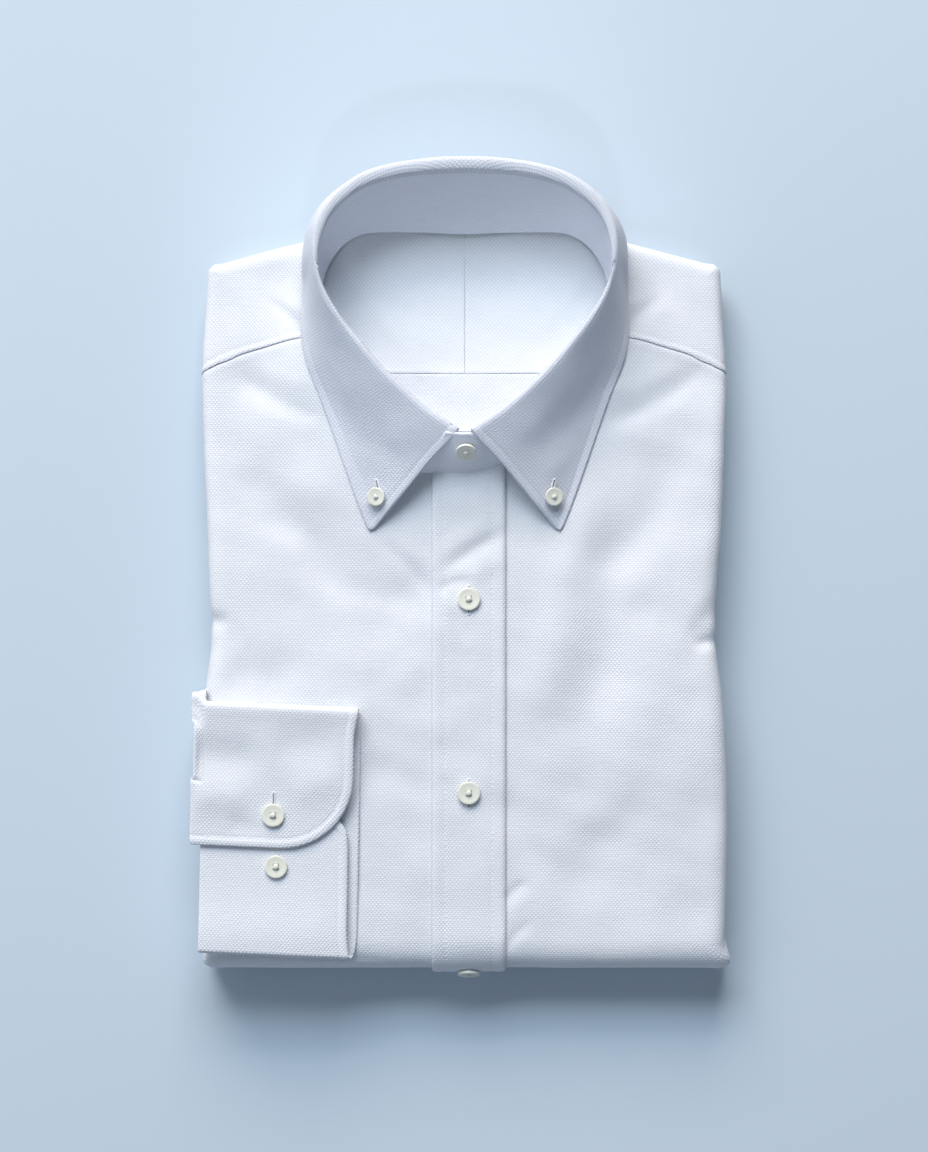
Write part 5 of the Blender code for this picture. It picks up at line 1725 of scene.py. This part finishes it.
def make_buttonhole(name, piece, x, y, lean, length, thread, dark):
    """Two lips of close stitches round a slit, laid on the cloth, with a dark strip in the slit as
    painted shade.
    """
    tree = tree_of(piece)
    angle = math.radians(lean)
    up = np.array((math.sin(angle), math.cos(angle)))
    side = np.array((up[1], -up[0]))
    run = length / 2.0 - HOLE_HALF
    ends = np.radians(np.linspace(20.0, 160.0, 6))
    path = []
    for way in (1.0, -1.0):
        path += [way * side * HOLE_HALF + up * v for v in np.linspace(-run, run, 22) * way]
        path += [way * (up * run + (side * math.cos(t) + up * math.sin(t)) * HOLE_HALF) for t in ends]
    slit = [up * v for v in np.linspace(-run, run, 16)]
    sides = LIP_SIDES
    ring = circle(sides)

    def tube(flat_path, wide, tall, closed):
        found = [look_down(tree, x + flat[0], y + flat[1]) for flat in flat_path]
        found = [(near / MM, normal) for near, normal in found]
        count = len(found)
        points = []
        for index, (near, normal) in enumerate(found):
            after = found[(index + 1) % count][0] if closed or index < count - 1 else near
            before = found[index - 1][0] if closed or index > 0 else near
            across = (after - before).cross(normal).normalized()
            rib = 1.0 + LIP_RIB * (-1.0) ** index
            if not closed:
                rib = SLIT_POINT if index in (0, count - 1) else 1.0
            points += [near + across * wide * rib * u + normal * (LIP_RISE + tall * rib * v)
                       for u, v in ring]
        faces = [tuple(face) for face in grid_faces(count, sides, loop=True)]
        last = (count - 1) * sides
        if closed:
            faces += [(last + k, last + (k + 1) % sides, (k + 1) % sides, k) for k in range(sides)]
        else:
            faces += [tuple(range(sides - 1, -1, -1)), tuple(range(last, last + sides))]
        return from_frame(points), faces
    for label, parts, finish in (("buttonhole_" + name, tube(path, *LIP, True), thread),
                                 ("buttonhole_painted_shade_" + name, tube(slit, *SLIT, False), dark)):
        join_frame(new_piece(label, *parts, None, finish))


# ---- floor, lights and camera, in metres ----
CAMERA_PLACE = (0.0023, -0.00096, 1.326)
CAMERA_LENS = 90.28
FLOOR_SIZE, FLOOR_DROP = 6.0, 0.0002
LIGHT_SIZE = (2.8, 1.25)
# soft lights: name, place, share of the power, colour
LIGHTS = (
    ("high_light", (-0.54, 2.54, 2.54), 1.36, (0.78, 0.88, 1.0)),
    ("low_light", (-0.54, 3.19, 1.69), 1.5, (1.0, 0.86, 0.72)),
    ("front_light", (0.0, -2.12, 2.12), 0.17, (0.72, 0.82, 1.0)),
    ("side_light", (-1.35, 0.4, 0.95), 0.085, (0.86, 0.93, 1.0)),
)
# small light into the collar: place, aim, colour, degrees across
COLLAR_LIGHT = ((0.0, -0.62, 1.05), (0.0, 0.152, 0.035), (0.86, 0.92, 1.0), 5.2)
SKY_COLOUR = (0.72, 0.84, 1.0, 1.0)


def add_light(name, kind, place, aim, power, colour, **values):
    """Light at a place that looks at its aim."""
    data = bpy.data.lights.new(name, kind)
    data.energy, data.color = power, colour
    for label, value in values.items():
        setattr(data, label, value)
    made = new_object(name, data)
    made.location = place
    made.rotation_euler = (Vector(aim) - Vector(place)).to_track_quat("-Z", "Y").to_euler()


def make_floor(colour):
    set_only()
    bpy.ops.mesh.primitive_plane_add(size=FLOOR_SIZE, location=(0.0, 0.0, -FLOOR_DROP))
    floor = bpy.context.object
    floor.name = "floor"
    apply_place(location=True)
    floor_material(colour)
    floor.data.materials.append(finish("floor_paper"))


def make_lights(key_power, collar_power, sky_strength):
    for name, place, share, colour in LIGHTS:
        add_light(name, "AREA", place, (0.0, 0.0, 0.0), key_power * share, colour,
                  shape="RECTANGLE", size=LIGHT_SIZE[0], size_y=LIGHT_SIZE[1])
    place, aim, colour, degrees = COLLAR_LIGHT
    add_light("collar_light", "SPOT", place, aim, collar_power, colour,
              spot_size=math.radians(degrees), spot_blend=0.8, shadow_soft_size=0.1)
    world = bpy.data.worlds.new("soft_room")
    world.use_nodes = True
    sky = world.node_tree.nodes["Background"]
    sky.inputs["Color"].default_value = SKY_COLOUR
    sky.inputs["Strength"].default_value = sky_strength
    bpy.context.scene.world = world


def make_camera():
    camera = new_object("camera", bpy.data.cameras.new("camera"))
    camera.location = CAMERA_PLACE
    camera.data.lens = CAMERA_LENS
    camera.data.sensor_width = 36.0
    camera.data.clip_start = 0.05
    bpy.context.scene.camera = camera
    bpy.context.scene.view_settings.view_transform = "Standard"


# ---- property groups, operators and panel ----
class ShirtClothSettings(bpy.types.PropertyGroup):
    pair_width: bpy.props.FloatProperty(
        name="Pair Width", description="Width of one over-and-under of the oxford weave",
        default=0.0017, min=0.0005, unit="LENGTH", precision=5)
    row_height: bpy.props.FloatProperty(
        name="Row Height", description="Height of one row of the oxford weave",
        default=0.00095, min=0.0003, unit="LENGTH", precision=5)
    weave_depth: bpy.props.FloatProperty(
        name="Weave Depth", description="Height of the threads of the weave",
        default=0.00024, min=0.0, unit="LENGTH", precision=5)
    unevenness: bpy.props.FloatProperty(
        name="Unevenness", description="How much the threads wander", default=0.5, min=0.0, max=2.0)
    cloth_colour: bpy.props.FloatVectorProperty(
        name="Cloth", description="Colour of the raised threads", subtype="COLOR", size=3,
        default=(0.852, 0.868, 0.884), min=0.0, max=1.0)
    # painted shade: the cloth darkens towards this colour in the gaps of the weave
    gap_painted_shade: bpy.props.FloatVectorProperty(
        name="Gaps", description="Colour between the threads", subtype="COLOR", size=3,
        default=(0.62, 0.66, 0.74), min=0.0, max=1.0)


class ShirtButtonSettings(bpy.types.PropertyGroup):
    button_colour: bpy.props.FloatVectorProperty(
        name="Button", description="Colour of a button", subtype="COLOR", size=3,
        default=(0.82, 0.83, 0.745), min=0.0, max=1.0)
    button_shade: bpy.props.FloatVectorProperty(
        name="Button Cloud", description="Colour of the button's darker cloud", subtype="COLOR", size=3,
        default=(0.75, 0.76, 0.665), min=0.0, max=1.0)


class ShirtStageSettings(bpy.types.PropertyGroup):
    floor_colour: bpy.props.FloatVectorProperty(
        name="Floor", description="Colour of the surface below", subtype="COLOR", size=3,
        default=(0.535, 0.63, 0.713), min=0.0, max=1.0)
    key_power: bpy.props.FloatProperty(
        name="Key Power", description="Power of the soft light at the collar's end",
        default=80.0, min=0.0, unit="POWER")
    collar_power: bpy.props.FloatProperty(
        name="Collar Light", description="Power of the small light into the collar",
        default=25.0, min=0.0, unit="POWER")
    sky_strength: bpy.props.FloatProperty(
        name="Sky Strength", description="Strength of the even light from all round",
        default=0.1, min=0.0)


class SHIRT_OT_materials(bpy.types.Operator):
    """Make the weave group and the finishes"""
    bl_idname = "shirt.materials"
    bl_label = "Finishes"

    def execute(self, context):
        cloth = context.scene.shirt_cloth
        weave_group()
        cloth_material("oxford_cloth", cloth)
        # painted shade: a thin dark line along the placket's left edge
        cloth_material("placket_cloth", cloth, edge=PLACKET_EDGES[0])
        # painted shade: the collar leaf gets a darker, bluer copy of the cloth
        cloth_material("collar_cloth_painted_shade", cloth, (0.88, 0.885, 0.92), 0.8, 1.05)
        # painted light: the inner yokes inside the neck get a brighter copy of the cloth
        cloth_material("inside_cloth_painted_light", cloth, (1.07, 1.06, 1.04), 0.5, 1.0)
        # painted light: the collar stand gets a brighter, bluer copy of the cloth, standing in for light
        # bounced inside the collar
        cloth_material("stand_cloth_painted_light", cloth, (1.1, 1.1, 1.13), 0.6, 1.0)
        # painted shade: the hidden layers get a slightly darker copy of the cloth
        cloth_material("hidden_cloth", cloth, (0.97, 0.97, 0.98), 1.0)
        thread_material("sewing_thread", (0.86, 0.88, 0.91))
        thread_material("button_thread", (0.76, 0.77, 0.70))
        # painted shade: the dark strip laid in each buttonhole's slit
        thread_material("slit_painted_shade", (0.26, 0.28, 0.34))
        button_material(context.scene.shirt_button)
        return {"FINISHED"}


class SHIRT_OT_layers(bpy.types.Operator):
    """Make the hidden layers"""
    bl_idname = "shirt.layers"
    bl_label = "Hidden Layers"

    def execute(self, context):
        make_layers(finish("hidden_cloth"))
        return {"FINISHED"}


class SHIRT_OT_fronts(bpy.types.Operator):
    """Make the two front panels"""
    bl_idname = "shirt.fronts"
    bl_label = "Fronts"

    def execute(self, context):
        make_fronts(finish("oxford_cloth"))
        return {"FINISHED"}


class SHIRT_OT_yokes(bpy.types.Operator):
    """Make the outer yokes over the shoulders"""
    bl_idname = "shirt.yokes"
    bl_label = "Yokes"

    def execute(self, context):
        make_yokes(finish("oxford_cloth"))
        return {"FINISHED"}


class SHIRT_OT_placket(bpy.types.Operator):
    """Make the placket"""
    bl_idname = "shirt.placket"
    bl_label = "Placket"

    def execute(self, context):
        make_placket(finish("placket_cloth"))
        return {"FINISHED"}


class SHIRT_OT_inside(bpy.types.Operator):
    """Make the inner yokes and the back that show inside the neck"""
    bl_idname = "shirt.inside"
    bl_label = "Inside"

    def execute(self, context):
        make_inside(finish("inside_cloth_painted_light"), finish("oxford_cloth"))
        return {"FINISHED"}


class SHIRT_OT_collar(bpy.types.Operator):
    """Make the collar stand and the collar leaf"""
    bl_idname = "shirt.collar"
    bl_label = "Collar"

    def execute(self, context):
        rows = collar_rows()
        make_stand(finish("stand_cloth_painted_light"), rows)
        make_leaf(finish("collar_cloth_painted_shade"), rows)
        return {"FINISHED"}


class SHIRT_OT_cuff(bpy.types.Operator):
    """Make the cuff and the sleeve that it ends"""
    bl_idname = "shirt.cuff"
    bl_label = "Cuff and Sleeve"

    def execute(self, context):
        make_sleeve(finish("oxford_cloth"))
        make_cuff(finish("oxford_cloth"))
        return {"FINISHED"}


class SHIRT_OT_stitches(bpy.types.Operator):
    """Make the rows of stitches"""
    bl_idname = "shirt.stitches"
    bl_label = "Stitches"

    def execute(self, context):
        make_all_stitches(finish("sewing_thread"))
        return {"FINISHED"}


class SHIRT_OT_buttons(bpy.types.Operator):
    """Make the buttons with their thread, and the buttonholes"""
    bl_idname = "shirt.buttons"
    bl_label = "Buttons and Buttonholes"

    def execute(self, context):
        make_buttons(collar_rows(), finish("button_cream"), finish("button_thread"))
        for row in BUTTONHOLES:
            make_buttonhole(*row, finish("sewing_thread"), finish("slit_painted_shade"))
        return {"FINISHED"}


class SHIRT_OT_stage(bpy.types.Operator):
    """Make the floor, the lights and the camera"""
    bl_idname = "shirt.stage"
    bl_label = "Stage"

    def execute(self, context):
        settings = context.scene.shirt_stage
        make_floor(settings.floor_colour)
        make_lights(settings.key_power, settings.collar_power, settings.sky_strength)
        make_camera()
        return {"FINISHED"}


class SHIRT_PT_panel(bpy.types.Panel):
    bl_idname = "SHIRT_PT_panel"
    bl_label = "Folded Dress Shirt"
    bl_space_type = "VIEW_3D"
    bl_region_type = "UI"
    bl_category = "Shirt"

    def draw(self, context):
        layout = self.layout
        for step in STEPS:
            layout.operator(step.bl_idname)
        scene = context.scene
        for group in (scene.shirt_cloth, scene.shirt_button, scene.shirt_stage):
            for name in group.bl_rna.properties.keys():
                if name not in {"rna_type", "name"}:
                    layout.prop(group, name)


STEPS = (SHIRT_OT_materials, SHIRT_OT_layers, SHIRT_OT_fronts, SHIRT_OT_yokes, SHIRT_OT_placket,
         SHIRT_OT_inside, SHIRT_OT_collar, SHIRT_OT_cuff, SHIRT_OT_stitches, SHIRT_OT_buttons,
         SHIRT_OT_stage)
GROUPS = (ShirtClothSettings, ShirtButtonSettings, ShirtStageSettings)


def register():
    for kind in GROUPS + STEPS + (SHIRT_PT_panel,):
        bpy.utils.register_class(kind)
    bpy.types.Scene.shirt_cloth = bpy.props.PointerProperty(type=ShirtClothSettings)
    bpy.types.Scene.shirt_button = bpy.props.PointerProperty(type=ShirtButtonSettings)
    bpy.types.Scene.shirt_stage = bpy.props.PointerProperty(type=ShirtStageSettings)


def unregister():
    for name in ("shirt_cloth", "shirt_button", "shirt_stage"):
        delattr(bpy.types.Scene, name)
    for kind in reversed(GROUPS + STEPS + (SHIRT_PT_panel,)):
        bpy.utils.unregister_class(kind)


def main():
    register()
    for step in STEPS:
        group, name = step.bl_idname.split(".")
        getattr(getattr(bpy.ops, group), name)()


if __name__ == "__main__":
    main()
